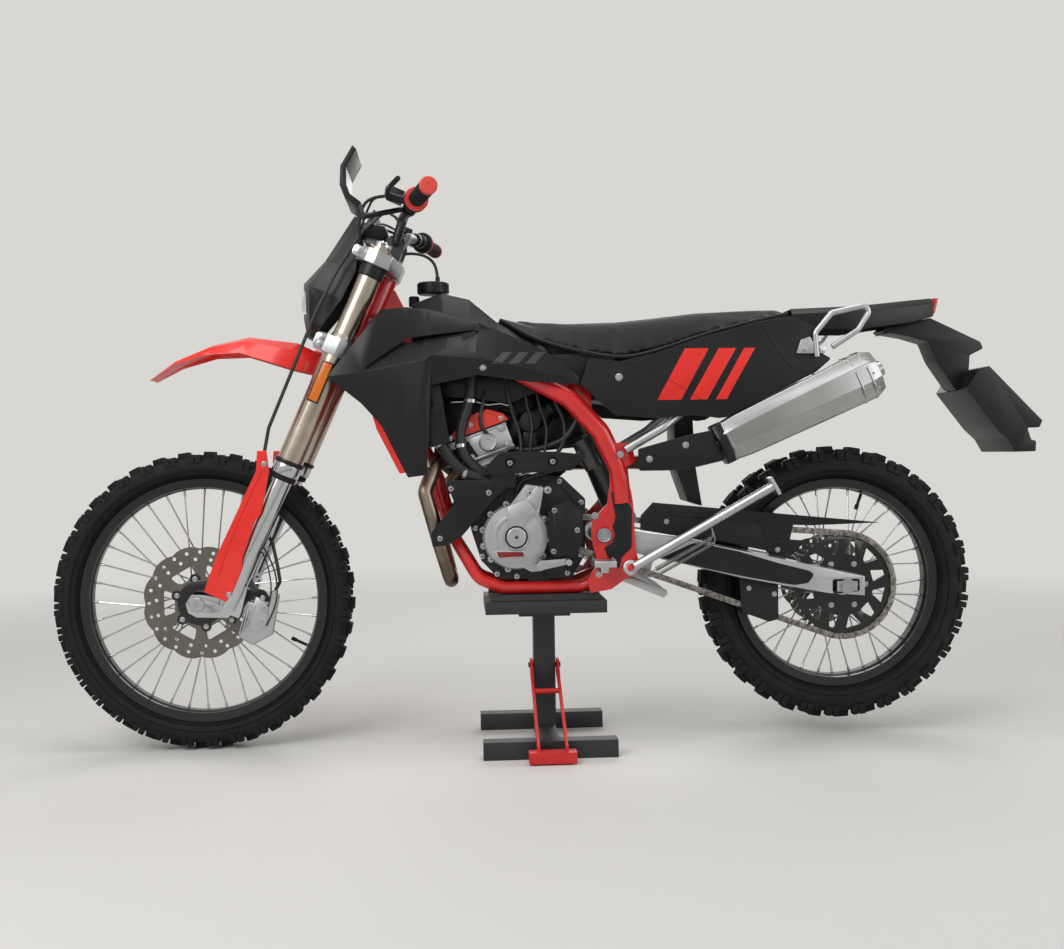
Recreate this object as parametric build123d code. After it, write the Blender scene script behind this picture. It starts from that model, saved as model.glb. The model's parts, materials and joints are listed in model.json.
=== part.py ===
from build123d import *
import os
from math import acos, atan2, cos, degrees, hypot, pi, radians, sin

# A light enduro motorcycle standing on its lift stand. Sizes are in mm and angles in degrees.
# +X points forward, +Y to the rider's left, +Z up, and Z = 0 is the floor.

# Main places and lengths
wheelbase = 1490
rear_axle_x = -677
rear_axle_z = 359
front_tyre_radius = 346.3
rear_tyre_radius = 326
front_axle_x = rear_axle_x + wheelbase
front_axle_z = front_tyre_radius
seat_gap = 0.3          # between two curved or soft faces that rest on each other
run_gap = 0.3           # radial gap of a wheel, stand or stem on its shaft

# Steering head and fork
rake = 24.1
clamp_offset = 26       # steering axis to fork leg
axle_lead = 63          # fork leg to wheel axle, square to the leg
leg_y = 97
outer_tube_radius = 30
outer_tube_top_radius = 26
inner_tube_radius = 24
stem_radius = 15
head_tube_radius = 27
head_low = 682          # heights along the steering axis, from the point beside the front axle
head_high = 858
fork_top = 902
clamp_low = 638         # underside of the lower clamp
fork_seal = 340

# Engine
crank_x = 90
crank_z = 486
cylinder_lean = 20
case_half_width = 66
engine_side = 112       # how far the side covers reach out
sprocket_x = -32
sprocket_z = 498

# Chain and sprockets
chain_pitch = 15.875
rear_teeth = 48
front_teeth = 13
chain_y = 78
chain_half_width = 8
plate_height = 14.6
plate_thickness = 3.2
sprocket_thickness = 7

# Swingarm
pivot_x = -112
pivot_z = 487
pivot_boss_radius = 26
pivot_bolt_radius = 10
arm_outside = 118
rear_axle_radius = 12.5
front_axle_radius = 12

# Frame tubes
backbone_radius = 22
downtube_radius = 20
rail_radius = 14
rail_y = 70
rail_z = 366
plate_y = 90
plate_width = 15

# Side stand
stand_pivot_x = -170
stand_pivot_y = 126
stand_pivot_z = 412
stand_reach = 378
stand_tube_radius = 11
stand_splay = 12
stand_rest_angle = 29   # of the folded leg above the horizontal, pointing back

# Lift stand
lift_x = 24
lift_y = 42
lift_length = 278
lift_width = 230
lift_plate_z = 311
lift_plate = 28
pad_top = rail_z - rail_radius
foot_height = 40
foot_width = 40
foot_length = 300
foot_spacing = 300
post_size = 50
post_y = 12


def flat(outline, y_low, y_high, corner=0):
    # A plate drawn in X and Z and thick in Y
    if corner:
        edge = FilletPolyline(*outline, radius=corner, close=True)
    else:
        edge = Polyline(*outline, close=True)
    return extrude(Plane.XZ.offset(-y_high) * make_face(edge), amount=y_high - y_low)


def rod(start, end, radius):
    start = Vector(*start)
    end = Vector(*end)
    return extrude(Plane(start, z_dir=end - start) * Circle(radius), amount=(end - start).length)


def pipe(points, radius, bend):
    # A round tube along straight runs joined by arcs
    path = FilletPolyline(*points, radius=bend)
    return sweep(Plane(origin=path @ 0, z_dir=path % 0) * Circle(radius), path=path)


def cross_bar(x, z, radius, y_low, y_high):
    return rod((x, y_low, z), (x, y_high, z), radius)


def block(x_low, x_high, y_low, y_high, z_low, z_high):
    size = (x_high - x_low, y_high - y_low, z_high - z_low)
    middle = ((x_high + x_low) / 2, (y_high + y_low) / 2, (z_high + z_low) / 2)
    return Pos(*middle) * Box(*size)


def both_sides(shape):
    return Compound(children=[shape, mirror(shape, about=Plane.XZ)])


def ring(section, x=0, z=0):
    # A turned piece about a wheel axle, from points of radius and Y
    face = make_face(Polyline(*section, close=True))
    return Pos(x, 0, z) * revolve(face, Axis.Y)


def hull_loft(rows, shape):
    # A body through sections square to X, shape gives the Y and Z points of one row
    faces = []
    for row in rows:
        points = [(row[0], y, z) for y, z in shape(*row[1:])]
        faces.append(make_face(Polyline(*points, close=True)))
    return loft(faces, ruled=True)


def polar(radius, angle):
    return radius * cos(radians(angle)), radius * sin(radians(angle))


# Steering frame: X forward and Z up along the steering axis, level with the front axle
lean = radians(rake)
steer_offset = clamp_offset + axle_lead
steer_x = front_axle_x - steer_offset * cos(lean)
steer_z = front_axle_z - steer_offset * sin(lean)
steer = Plane(origin=(steer_x, 0, steer_z), x_dir=(cos(lean), 0, sin(lean)), z_dir=(-sin(lean), 0, cos(lean)))


def steered(shape):
    return steer.location * shape


def head_point(forward, y, height):
    # A point of the steering frame in the machine's own frame
    return (steer_x + forward * cos(lean) - height * sin(lean), y,
            steer_z + forward * sin(lean) + height * cos(lean))


def steered_pair(one_side):
    return Compound(children=[steered(one_side(1)), steered(one_side(-1))])


# Wheels

# Tyre stations from the middle of the tread out: half width, radius
front_stations = [(16, 335), (30, 331), (41, 322), (42, 308)]
rear_stations = [(22, 313), (44, 308), (56, 296), (57, 276)]

# Sidewall stations from the bead out: half width, radius
front_sidewall = [(18.5, 285.6), (35, 294), (42.2, 308.5)]
rear_sidewall = [(24, 250.8), (46, 258), (57.2, 276.5)]

# Rows of tread lugs: tip radius, valley radius, Y low, Y high, shift in lug pitches
front_lugs = [
    (front_tyre_radius, 328, -15, 15, 0.0),
    (340, 312, 19, 41.5, 0.5),
    (340, 312, -41.5, -19, 0.5),
]
rear_lugs = [
    (rear_tyre_radius, 305, -21, 21, 0.0),
    (319, 288, 26, 56.5, 0.5),
    (319, 288, -56.5, -26, 0.5),
]
lug_share = 0.52        # of the pitch that is rubber


def mirrored_section(half):
    return half + [(radius, -y) for radius, y in reversed(half)]


def flat_disc(radius, y_low, y_high, x=0, z=0):
    return cross_bar(x, z, radius, y_low, y_high)


def sided_disc(stations, sides):
    # A disc about Y with flat sides, through stations of Y and radius
    faces = []
    for y, radius in stations:
        points = [polar(radius, index * 360 / sides) for index in range(sides)]
        faces.append(make_face(Polyline(*[(px, y, pz) for px, pz in points], close=True)))
    return loft(faces, ruled=True)


def lug_ring(count, tip, valley, y_low, y_high, shift):
    pitch = 360 / count
    lugs = []
    for index in range(count):
        start = (index + shift) * pitch
        end = start + pitch * lug_share
        corners = [polar(valley, start), polar(tip, start), polar(tip, end), polar(valley, end)]
        lugs.append(flat(corners, y_low, y_high))
    return lugs


def tyre(stations, sidewall, bore, count, lugs, x, z):
    outer = [(-y, radius) for y, radius in reversed(stations)] + stations
    body = sided_disc(outer, count)
    for side in (1, -1):
        dish = [(side * y, radius) for y, radius in sidewall]
        body -= sided_disc(dish, count)
    body -= flat_disc(bore, -100, 100)
    pieces = []
    for row in lugs:
        pieces.extend(lug_ring(count, *row))
    return Pos(x, 0, z) * body.fuse(*pieces)


# Rim sections as radius and half width, outside first
front_rim_section = [(258.5, 10), (262, 17), (263, 22), (283, 23.5), (283, 18.8), (267, 18.8)]
rear_rim_section = [(223, 12), (227, 22), (228, 28), (248, 30), (248, 24.3), (232, 24.3)]


def spoke_hub(core, flange_radius, flange_y, rim_radius, rim_y, bore, x, z):
    # The hub with its 36 wire spokes laced to the rim
    spoke_count = 36
    spoke_radius = 1.9
    lace = 52
    hub = ring(core)
    spokes = []
    for index in range(spoke_count):
        side = 1 if index % 2 == 0 else -1
        turn = 1 if (index // 2) % 2 == 0 else -1
        rim_angle = index * 360 / spoke_count
        hub_angle = rim_angle - turn * lace
        hub_xz = polar(flange_radius, hub_angle)
        rim_xz = polar(rim_radius, rim_angle)
        start = Vector(hub_xz[0], side * (flange_y + turn * 1.5), hub_xz[1])
        end = Vector(rim_xz[0], side * rim_y, rim_xz[1])
        face = Plane(start, z_dir=end - start) * RegularPolygon(radius=spoke_radius, side_count=6)
        spokes.append(extrude(face, amount=(end - start).length))
    hub = hub.fuse(*spokes)
    hub -= flat_disc(bore, -200, 200)
    return Pos(x, 0, z) * hub


def wave_disc(count, peak, valley, bore, y_low, y_high, windows, window_in, window_out, hole_rows):
    # A brake disc with a scalloped edge and a ring of windows
    arcs = []
    pitch = 360 / count
    for index in range(count):
        start = polar(valley, index * pitch)
        middle = polar(peak, (index + 0.5) * pitch)
        end = polar(valley, (index + 1) * pitch)
        arcs.append(ThreePointArc(start, middle, end))
    disc = extrude(Plane.XZ.offset(-y_high) * make_face(arcs), amount=y_high - y_low)
    disc -= flat_disc(bore, y_low - 1, y_high + 1)
    cuts = []
    for index in range(windows):
        angle = index * 360 / windows
        half = 360 / windows * 0.33
        corners = [polar(window_in, angle - half), polar(window_out, angle - half),
                   polar(window_out, angle + half), polar(window_in, angle + half)]
        cuts.append(flat(corners, y_low - 1, y_high + 1, 4))
    # Rows of round holes as radius, count and first angle
    for radius, holes, first in hole_rows:
        for index in range(holes):
            x, z = polar(radius, first + index * 360 / holes)
            cuts.append(flat_disc(4.2, y_low - 1, y_high + 1, x, z))
    return disc.cut(*cuts)


front_disc_y = 62
front_disc_thickness = 3.5
front_hub_end = 64
front_hub_core = [
    (5, -front_hub_end), (19, -front_hub_end), (19, -38), (31, -36), (31, -29), (20, -26), (20, 26), (31, 29),
    (31, 36), (24, 40), (24, 50), (58, 52), (58, front_disc_y), (22, front_disc_y), (22, front_hub_end + 2),
    (5, front_hub_end + 2),
]
rear_disc_y = 66
rear_disc_thickness = 4
sprocket_in = chain_y - sprocket_thickness / 2
rear_hub_end = 84
rear_hub_core = [
    (5, -rear_hub_end), (22, -rear_hub_end), (22, -rear_disc_y), (40, -rear_disc_y), (40, -60), (30, -56),
    (30, -46), (40, -43), (40, -36), (27, -33), (27, 33), (40, 36), (40, 43), (32, 46), (32, 62),
    (62, 66), (62, sprocket_in), (24, sprocket_in), (24, rear_hub_end), (5, rear_hub_end),
]


def sprocket(teeth, thickness, bore, windows, y_middle, x, z):
    pitch_radius = chain_pitch / (2 * sin(pi / teeth))
    root = pitch_radius - 5.4
    tip = pitch_radius + 4.5
    pitch = 360 / teeth
    points = []
    for index in range(teeth):
        # A roller rests in the valley at each whole pitch
        middle = index * pitch
        for radius, step in ((root, -0.2), (root, 0.2), (tip, 0.42), (tip, 0.58)):
            points.append(polar(radius, middle + step * pitch))
    wheel = flat(points, y_middle - thickness / 2, y_middle + thickness / 2)
    wheel -= flat_disc(bore, y_middle - thickness, y_middle + thickness)
    for index in range(windows):
        angle = (index + 0.5) * 360 / windows
        half = 360 / windows * 0.36
        if index % 2 == 0:
            corners = [polar(74, angle - half * 0.3), polar(74, angle + half * 0.3), polar(104, angle + half),
                       polar(104, angle - half)]
        else:
            corners = [polar(74, angle - half), polar(74, angle + half), polar(104, angle + half * 0.3),
                       polar(104, angle - half * 0.3)]
        wheel -= flat(corners, y_middle - thickness, y_middle + thickness, 2)
    return Pos(x, 0, z) * wheel


def chain_loop(offset):
    # The closed line of the chain round both sprockets, moved out by the offset
    big = chain_pitch / (2 * sin(pi / rear_teeth)) + offset
    small = chain_pitch / (2 * sin(pi / front_teeth)) + offset
    run = hypot(sprocket_x - rear_axle_x, sprocket_z - rear_axle_z)
    slope = degrees(atan2(sprocket_z - rear_axle_z, sprocket_x - rear_axle_x))
    spread = degrees(acos((big - small) / run))

    def on_rear(angle):
        dx, dz = polar(big, angle)
        return rear_axle_x + dx, rear_axle_z + dz

    def on_front(angle):
        dx, dz = polar(small, angle)
        return sprocket_x + dx, sprocket_z + dz

    top = slope + spread
    bottom = slope - spread
    edges = [
        Line(on_front(top), on_rear(top)),
        ThreePointArc(on_rear(top), on_rear(slope + 180), on_rear(bottom)),
        Line(on_rear(bottom), on_front(bottom)),
        ThreePointArc(on_front(bottom), on_front(slope), on_front(top)),
    ]
    return make_face(edges)


def loop_slab(offset, y_low, y_high):
    return extrude(Plane.XZ.offset(-y_high) * chain_loop(offset), amount=y_high - y_low)


def chain():
    low = chain_y - chain_half_width
    high = chain_y + chain_half_width
    half = plate_height / 2
    body = loop_slab(half, low, high) - loop_slab(-half, low - 1, high + 1)
    groove = loop_slab(half - 2.2, low + plate_thickness, high - plate_thickness)
    return body - groove


# Frame

# Run of one side of the backbone: x, y, z, from the steering head down to the pivot plate
backbone_run = [head_point(-8, 16, 749),  (150, 72, 906), (-36, 97, 803), (-108, 97, 725), (-148, 97, 640), (-156, 97, 560)]
downtube_run = [head_point(-16, 0, 720), (272, 0, 620), (246, 0, 520)]
rail_run = [(256, 8, 545), (225, 46, 470), (176, rail_y, 388), (120, rail_y, rail_z), (-60, rail_y, rail_z),
            (-132, rail_y + 16, 396)]
plate_outline = [(-132, 640), (-176, 590), (-181, 556), (-185, 452), (-192, 425), (-188, 396), (-160, 384),
                 (-128, 362), (-80, 354), (-72, 384), (-98, 420), (-84, 480), (-86, 520), (-122, 560)]


subframe_y = 60
subframe_radius = 11
strut_radius = 10
strut_tab_y = 112


def frame_tubes(extra):
    tubes = []
    for side in (1, -1):
        tubes.append(pipe([(x, y * side, z) for x, y, z in backbone_run], backbone_radius + extra, 55))
        tubes.append(pipe([(x, y * side, z) for x, y, z in rail_run], rail_radius + extra, 45))
    tubes.append(pipe(downtube_run, downtube_radius + extra, 120))
    tubes.append(cross_bar(-60, 768, 13 + extra, -100, 100))
    return tubes


def main_frame():
    head = steered(rod((0, 0, head_low), (0, 0, head_high), head_tube_radius))
    corners = [(-2, 740), (0, 833), (-31, 838), (-85, 794), (-70, 705), (-19, 690)]
    places = [head_point(forward, 0, height) for forward, height in corners]
    gusset = flat([(place[0], place[2]) for place in places], -12, 12)
    frame = head + gusset
    for tube in frame_tubes(0):
        frame += tube
    for side in (1, -1):
        low, high = sorted((side * plate_y, side * (plate_y + plate_width)))
        frame += flat(plate_outline, low, high)
        tab_low, tab_high = sorted((side * (strut_tab_y - 8), side * strut_tab_y))
        frame += flat([(-120, 700), (-178, 698), (-186, 655), (-160, 640)], tab_low, tab_high)
        ear_low, ear_high = sorted((side * (subframe_y + subframe_radius + seat_gap), side * 80))
        frame += flat([(-92, 765), (-30, 795), (-36, 852), (-84, 858)], ear_low, ear_high)
    frame += cross_bar(-118, 392, 12, -plate_y, plate_y)
    frame -= steered(rod((0, 0, head_low - 40), (0, 0, head_high + 60), stem_radius + run_gap))
    frame -= cross_bar(pivot_x, pivot_z, pivot_bolt_radius, -200, 200)
    return frame


def subframe_tubes(extra):
    # Aluminium rear frame under the seat, one pair of rails and one pair of struts
    strut_y = strut_tab_y + seat_gap + strut_radius
    tubes = [cross_bar(-380, 876, 9 + extra, -subframe_y, subframe_y)]
    for side in (1, -1):
        rail = [(-50, side * subframe_y, 838), (-400, side * subframe_y, 878), (-560, side * subframe_y, 926)]
        strut = [(-162, side * strut_y, 682), (-250, side * strut_y, 732), (-420, side * subframe_y, 868)]
        tubes.append(pipe(rail, subframe_radius + extra, 120))
        tubes.append(pipe(strut, strut_radius + extra, 40))
    return tubes


def subframe():
    first, *others = subframe_tubes(0)
    return first.fuse(*others)


def stand_axis():
    fold = radians(stand_rest_angle)
    tilt = radians(stand_splay)
    return (-sin(fold) * sin(tilt), -cos(tilt), -cos(fold) * sin(tilt))


# Engine

engine = Plane(origin=(crank_x, 0, crank_z), x_dir=(cos(radians(cylinder_lean)), 0, -sin(radians(cylinder_lean))),
               z_dir=(sin(radians(cylinder_lean)), 0, cos(radians(cylinder_lean))))


def on_cylinder(shape):
    return engine.location * shape


def clear_of_frame(shape, gap):
    return shape.cut(*frame_tubes(gap))


def engine_cases():
    outline = [(-72, 440), (-40, 386), (128, 386), (170, 430), (192, 500), (190, 560), (150, 600), (62, 630),
               (-20, 622), (-74, 570)]
    body = flat(outline, -case_half_width, case_half_width, 12)
    body += block(10, 60, -case_half_width, case_half_width, 372, 392)
    # Starter motor across the top, with its gear housing at the left
    body += cross_bar(-6, 646, 25, -34, 40)
    body += cross_bar(-6, 646, 14, 40, 52)
    body += flat([(-34, 630), (22, 630), (16, 664), (-26, 664)], 20, 34, 6)
    return clear_of_frame(body, seat_gap)


def stator_cover():
    low = case_half_width
    cover = flat_disc(72, low, low + 28, crank_x, crank_z)
    cover += flat_disc(60, low + 28, low + 42, crank_x, crank_z)
    cover += flat([(44, 500), (24, 600), (66, 606), (110, 548)], low, low + 30, 6)
    cover += flat([(52, 446), (24, 428), (28, 406), (56, 404), (84, 420)], low, low + 24, 5)
    cover += flat_disc(24, low + 42, engine_side, crank_x, crank_z)
    return cover


def clutch_cover():
    low = -case_half_width
    cover = flat_disc(82, low - 30, low, 20, 492)
    cover += flat_disc(58, low - 44, low - 30, 20, 492)
    cover += flat_disc(46, low - 34, low, 128, 470)
    cover += flat([(20, 574), (128, 516), (128, 424), (20, 410)], low - 26, low)
    return cover


def sprocket_guard():
    outline = [(-62, 470), (-42, 436), (-6, 430), (14, 450), (18, 520), (6, 556), (-30, 570), (-64, 545)]
    body = flat(outline, 92, 110, 8)
    # Two posts stand the cover off the cases in front of the chain
    body += cross_bar(2, 546, 7, case_half_width, 94)
    body += cross_bar(5, 452, 7, case_half_width, 94)
    return body


# Intake line from the back of the head up to the airbox
intake_start = (112, 714)
intake_rise = 32
intake_flange = 112

# Exhaust port on the front of the head, in the cylinder's own frame
port_root = (70, 20, 224)
port_mouth = (90, 34, 224)
header_radius = 17


def cylinder():
    low = block(-52, 52, -52, 52, 118, 192)
    for level in (130, 146, 162, 178):
        low += block(-60, 60, -58, 58, level, level + 4)
    head = block(-72, 72, -58, 58, 192, 257)
    cam_end = rod((-18, 58, 226), (-18, 70, 226), 18)
    port = rod(port_root, port_mouth, 22)
    body = on_cylinder(low + head + cam_end + port)
    return body - engine_envelope()


def on_intake(along, y, height):
    x, z = intake_start
    slope = radians(intake_rise)
    return x - along * cos(slope) + height * sin(slope), y, z + along * sin(slope) + height * cos(slope)


def intake_rod(start, end, radius):
    return rod(on_intake(start, 0, 0), on_intake(end, 0, 0), radius)


def throttle_body():
    body = intake_rod(0, 36, 29) + intake_rod(36, intake_flange, 25)
    for start, end, radius in ((30, 40, 33), (52, 92, 28), (intake_flange - 8, intake_flange, 33)):
        body += intake_rod(start, end, radius)
    # Cable wheel on the left, sensor box on the right, injector on top
    body += rod(on_intake(72, 0, 0), on_intake(72, 44, 0), 9)
    body += rod(on_intake(72, 40, 0), on_intake(72, 46, 0), 24)
    body += rod(on_intake(72, 46, 0), on_intake(72, 52, 0), 15)
    body += rod(on_intake(72, -44, 0), on_intake(72, 0, 0), 19)
    body += rod(on_intake(46, 0, 20), on_intake(22, 0, 62), 9)
    body += rod(on_intake(56, 30, 30), on_intake(56, 30, 54), 7) + rod(on_intake(56, 20, 18), on_intake(56, 30, 36), 6)
    return body.cut(cylinder(), valve_cover())


def intake_boot():
    # Ribbed rubber from the throttle body's flange into the airbox
    boot = intake_rod(intake_flange, intake_flange + 144, 25)
    for start in range(0, 120, 16):
        boot += intake_rod(intake_flange + start, intake_flange + start + 8, 28)
    return boot


def engine_envelope():
    return flat([(-20, 622), (-20, 500), (150, 500), (190, 560), (150, 600), (62, 630)], -90, 90)


def valve_cover():
    outline = [(-82, 257), (-75, 276), (-43, 299), (1, 299), (38, 282), (80, 262), (80, 257)]
    return on_cylinder(flat(outline, -60, 60, 2))


guard_bolts = [(102, 656), (4, 658)]   # recessed, x and z


def engine_guards():
    bar = [(174, 631), (124, 682), (0, 681), (-62, 674), (-68, 664), (-38, 637), (78, 632)]
    plate = [(250, 618), (230, 565), (262, 527), (284, 500), (282, 466), (246, 470), (214, 490), (135, 579), (86, 618)]
    left = flat(bar, 100, 112, 4) + flat(plate, 96, 100, 5) + flat([(90, 600), (146, 600), (146, 640), (90, 640)], 96, 104)
    left += cross_bar(150, 575, 9, case_half_width + seat_gap, 97)
    for x, z in guard_bolts:
        left -= cross_bar(x, z, 11, 105, 113)
    return both_sides(left)


def on_engine(x, y, z):
    point = (engine.location * Pos(x, y, z)).position
    return point.X, point.Y, point.Z


header_level = 653


def exhaust_pipe():
    # From the head forward, down beside the downtube, across under it, back along the right side
    # and behind the shock over to the muffler on the left
    start = on_engine(*[a + (b - a) * 1.01 for a, b in zip(port_root, port_mouth)])
    run_out = on_engine(*[a + (b - a) * 2.1 for a, b in zip(port_root, port_mouth)])
    header = [start, run_out, (298, 68, 592), (268, 74, 480), (240, 58, 384), (240, -58, 384), (264, -77, 480),
              (262, -77, 584), (200, -77, header_level), (60, -77, header_level)]
    rear = [(60, -77, header_level), (0, -77, header_level), (-80, -54.5, header_level),
            (-185, -54.5, header_level), (-224, -6, 652), (-244, 60, 650), muffler_point(-90), muffler_point(0)]
    return pipe(header, header_radius, 24) + pipe(rear, header_radius, 22)


def exhaust_shield():
    outline = [(-190, 634), (-188, 684), (-300, 714), (-356, 724), (-390, 656), (-292, 634)]
    return flat(outline, muffler_y + header_radius + seat_gap, 142, 6)


def muffler_section(half_height, half_width):
    # An oval with flats, as Y and height across the muffler's own axis
    return [(-half_width, -half_height * 0.45), (-half_width * 0.55, -half_height), (half_width * 0.55, -half_height),
            (half_width, -half_height * 0.45), (half_width, half_height * 0.3), (half_width * 0.62, half_height),
            (-half_width * 0.62, half_height), (-half_width, half_height * 0.3)]


muffler_rise = 24.5
muffler_front = (-378, 690)
muffler_y = 118
muffler_length = 405


def muffler_point(along):
    rise = radians(muffler_rise)
    return muffler_front[0] - along * cos(rise), muffler_y, muffler_front[1] + along * sin(rise)


def muffler_body(grow):
    axis = Plane(origin=(muffler_front[0], muffler_y, muffler_front[1]),
                 x_dir=(0, 1, 0), z_dir=(-cos(radians(muffler_rise)), 0, sin(radians(muffler_rise))))
    faces = []
    for along, half_height, half_width in ((0, 44, 34), (60, 50, 42), (muffler_length - 26, 57, 44),
                                           (muffler_length, 45, 36)):
        points = muffler_section(half_height + grow, half_width + grow)
        faces.append(axis.offset(along) * make_face(FilletPolyline(*points, radius=9, close=True)))
    return loft(faces, ruled=True)


def muffler():
    end = Plane(origin=muffler_point(muffler_length - 1), z_dir=Vector(*muffler_point(1)) - Vector(*muffler_point(0)))
    return muffler_body(0) + end * extrude(Circle(18) - Circle(15), amount=17)


# Bodywork

# Seat stations: x, top z, bottom z, half width on top, half width at the bottom edge
seat_rows = [
    (118, 995, 986, 52, 62),
    (40, 981, 940, 66, 92),
    (-36, 976, 914, 74, 112),
    (-150, 978, 889, 82, 122),
    (-235, 986, 906, 86, 122),
    (-340, 998, 942, 86, 120),
    (-470, 1004, 976, 80, 108),
    (-560, 1008, 994, 70, 88),
]


def seat_shape(top, bottom, half_top, half_bottom):
    shoulder = top - 12 if top - bottom > 20 else (top + bottom) / 2
    return [(-half_bottom, bottom), (-half_top - 6, shoulder), (-half_top * 0.7, top), (half_top * 0.7, top),
            (half_top + 6, shoulder), (half_bottom, bottom)]


def seat():
    return hull_loft(seat_rows, seat_shape)


# Tank stations: x, top z, bottom z, half width on top, half width at the middle
tank_rows = [
    (322, 1030, 900, 40, 96),
    (250, 1054, 872, 64, 116),
    (190, 1040, 866, 70, 120),
    (124, 985, 866, 70, 118),
    (40, 939, 866, 80, 112),
    (10, 924, 870, 80, 100),
]


def tank_shape(top, bottom, half_top, half_middle):
    middle = bottom + (top - bottom) * 0.45
    return [(-half_middle * 0.7, bottom), (-half_middle, middle), (-half_top, top - 6), (-half_top * 0.6, top),
            (half_top * 0.6, top), (half_top, top - 6), (half_middle, middle), (half_middle * 0.7, bottom)]


def fuel_tank():
    return clear_of_frame(hull_loft(tank_rows, tank_shape), seat_gap)


def fuel_cap():
    cap = rod((273, 0, 1054.2), (273, 0, 1082), 36)
    return cap


radiator_in = 76
radiator_out = 140


# Shroud stations: x, low z, top z, Y at the low edge, ridge z, Y at the ridge, Y at the top edge
shroud_rows = [
    (-56, 834, 848, 127, 840, 128, 127),
    (-20, 836, 888, 128, 850, 131, 128),
    (60, 840, 930, 132, 868, 140, 124),
    (172, 856, 978, 140, 892, 152, 110),
    (277, 834, 1006, 146, 900, 158, 106),
    (291, 632, 1008, 147, 890, 159, 107),
    (333, 627, 1012, 148, 880, 161, 117),
    (390, 744, 1003, 154, 866, 164, 143),
    (434, 794, 946, 160, 862, 166, 154),
    (505, 851, 857, 163, 854, 166, 163),
]
shroud_wall = 5
# Floor of the duct: x, low z, Y there, top z, Y there
duct_rows = [
    (160, 922, 142, 958, 123),
    (240, 894, 152, 950, 121),
    (300, 872, 154, 938, 124),
    (378, 850, 158, 912, 143),
    (446, 850, 160, 880, 156),
]
duct_floor = 3
# Air duct through the shroud
duct = [(440, 862), (329, 940), (240, 952), (166, 960), (200, 930), (300, 893)]


def shroud_shape(low, top, y_low, ridge, y_ridge, y_top):
    outer = [(y_low, low), (y_ridge, ridge), (y_top, top)]
    inner = [(y_top - shroud_wall, top), (y_ridge - shroud_wall, ridge), (y_low - shroud_wall, low)]
    return outer + inner


def shroud():
    shell = hull_loft(shroud_rows, shroud_shape) - flat(duct, 80, 200, 5)
    shell += hull_loft(duct_rows, lambda low, y_low, top, y_top: [
        (y_low, low), (y_top, top), (y_top - duct_floor, top), (y_low - duct_floor, low)])
    for x, z, reach in ((336, 720, 150), (362, 830, 156)):
        shell += cross_bar(x, z, 8, radiator_out + seat_gap, reach)
    return shell


panel_out = 132


def side_panel():
    outline = [(-60, 832), (-138, 762), (-240, 754), (-326, 760), (-378, 752), (-474, 764), (-562, 820),
               (-640, 886), (-606, 905), (-600, 960), (-548, 984), (-466, 970), (-340, 938), (-232, 902), (-150, 884),
               (-80, 892)]
    panel = flat(outline, panel_out - 6, panel_out, 4).cut(muffler_body(2))
    return panel + cross_bar(-380, 850, 8, 104.7, panel_out - 6)


def radiator():
    core = flat([(284, 650), (320, 650), (378, 866), (342, 880)], radiator_in, radiator_out)
    # Stays reach in to the downtube
    return core + cross_bar(326, 752, 7, downtube_radius + seat_gap, radiator_in)


# Red louvred guard in front of each radiator
guard_outline = [(320.4, 640), (352, 636), (402, 736), (420, 800), (404, 850), (375, 854)]


def radiator_guard():
    body = flat(guard_outline, radiator_in + 2, radiator_out - 2)
    slots = []
    for index in range(7):
        low = 664 + index * 25
        slots.append(block(300, 440, radiator_in + 8, radiator_out - 8, low, low + 15))
    return body.cut(*slots)


def airbox():
    body = hull_loft([(-96, 880, 800, 90), (-240, 884, 770, 108), (-380, 905, 790, 104), (-470, 940, 840, 80)],
                     lambda top, bottom, half: [(-half, bottom), (-half, top - 40), (-half + 20, top), (half - 20, top),
                                                (half, top - 40), (half, bottom)])
    flap = flat([(-286, 800), (-290, 640), (-318, 560), (-352, 548), (-336, 650), (-330, 800)], -50, 50)
    return (body + flap + intake_boot()).cut(*subframe_tubes(seat_gap))


# Tail stations: x, top z, bottom z at the side, half width
tail_rows = [
    (-560.3, 1007, 960, 92),
    (-725, 1014, 958, 84),
    (-860, 1029, 975, 62),
    (-914, 1035, 990, 48),
]


def tail_shape(top, side, half):
    wall = 4
    return [(-half, side), (-half, top - 14), (-half + 16, top), (half - 16, top), (half, top - 14), (half, side),
            (half - wall, side), (half - wall, top - 16), (half - 17, top - wall), (-half + 17, top - wall),
            (-half + wall, top - 16), (-half + wall, side)]


def rear_fender():
    return hull_loft(tail_rows, tail_shape)


def tail_lamp():
    return flat([(-914.3, 1034), (-930, 1034), (-922, 1000), (-914.3, 992)], -40, 40)


def plate_holder():
    arm = flat([(-780, 958), (-902, 986), (-911, 988), (-1034, 930), (-1041, 914), (-1008, 898), (-1005, 860),
                (-975, 812), (-925, 884), (-906, 930), (-860, 944)], -34, 34, 4)
    plate = flat([(-1005, 862), (-1030, 868), (-1158, 738), (-1150, 722), (-1121, 722), (-1130, 694), (-1142, 690),
                  (-1141, 666), (-1091, 665), (-1073, 696), (-1045, 722), (-975, 812)], -92, 92, 3)
    foot = flat([(-800, 950), (-800, 1018), (-860, 1024.6), (-860, 960)], -30, 30)
    return arm + plate + foot


def grab_handle(side):
    run = [(-604, 890), (-600, 944), (-640, 990), (-742, 1012), (-700, 950), (-640, 912)]
    y = side * (panel_out + seat_gap + 6.5)
    return pipe([(x, y, z) for x, z in run], 6.5, 14)


# Swingarm stations: x, inner y, outer y, bottom z, top z
arm_rows = [
    (pivot_x, 52, 84, 462, 512),
    (-188, 60, 88, 441, 498),
    (-293, 80, 112, 416, 479),
    (-425, 90, arm_outside, 382, 450),
    (-633, 92, arm_outside, 341, 403),
    (-718, 92, arm_outside, 334, 384),
]


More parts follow.
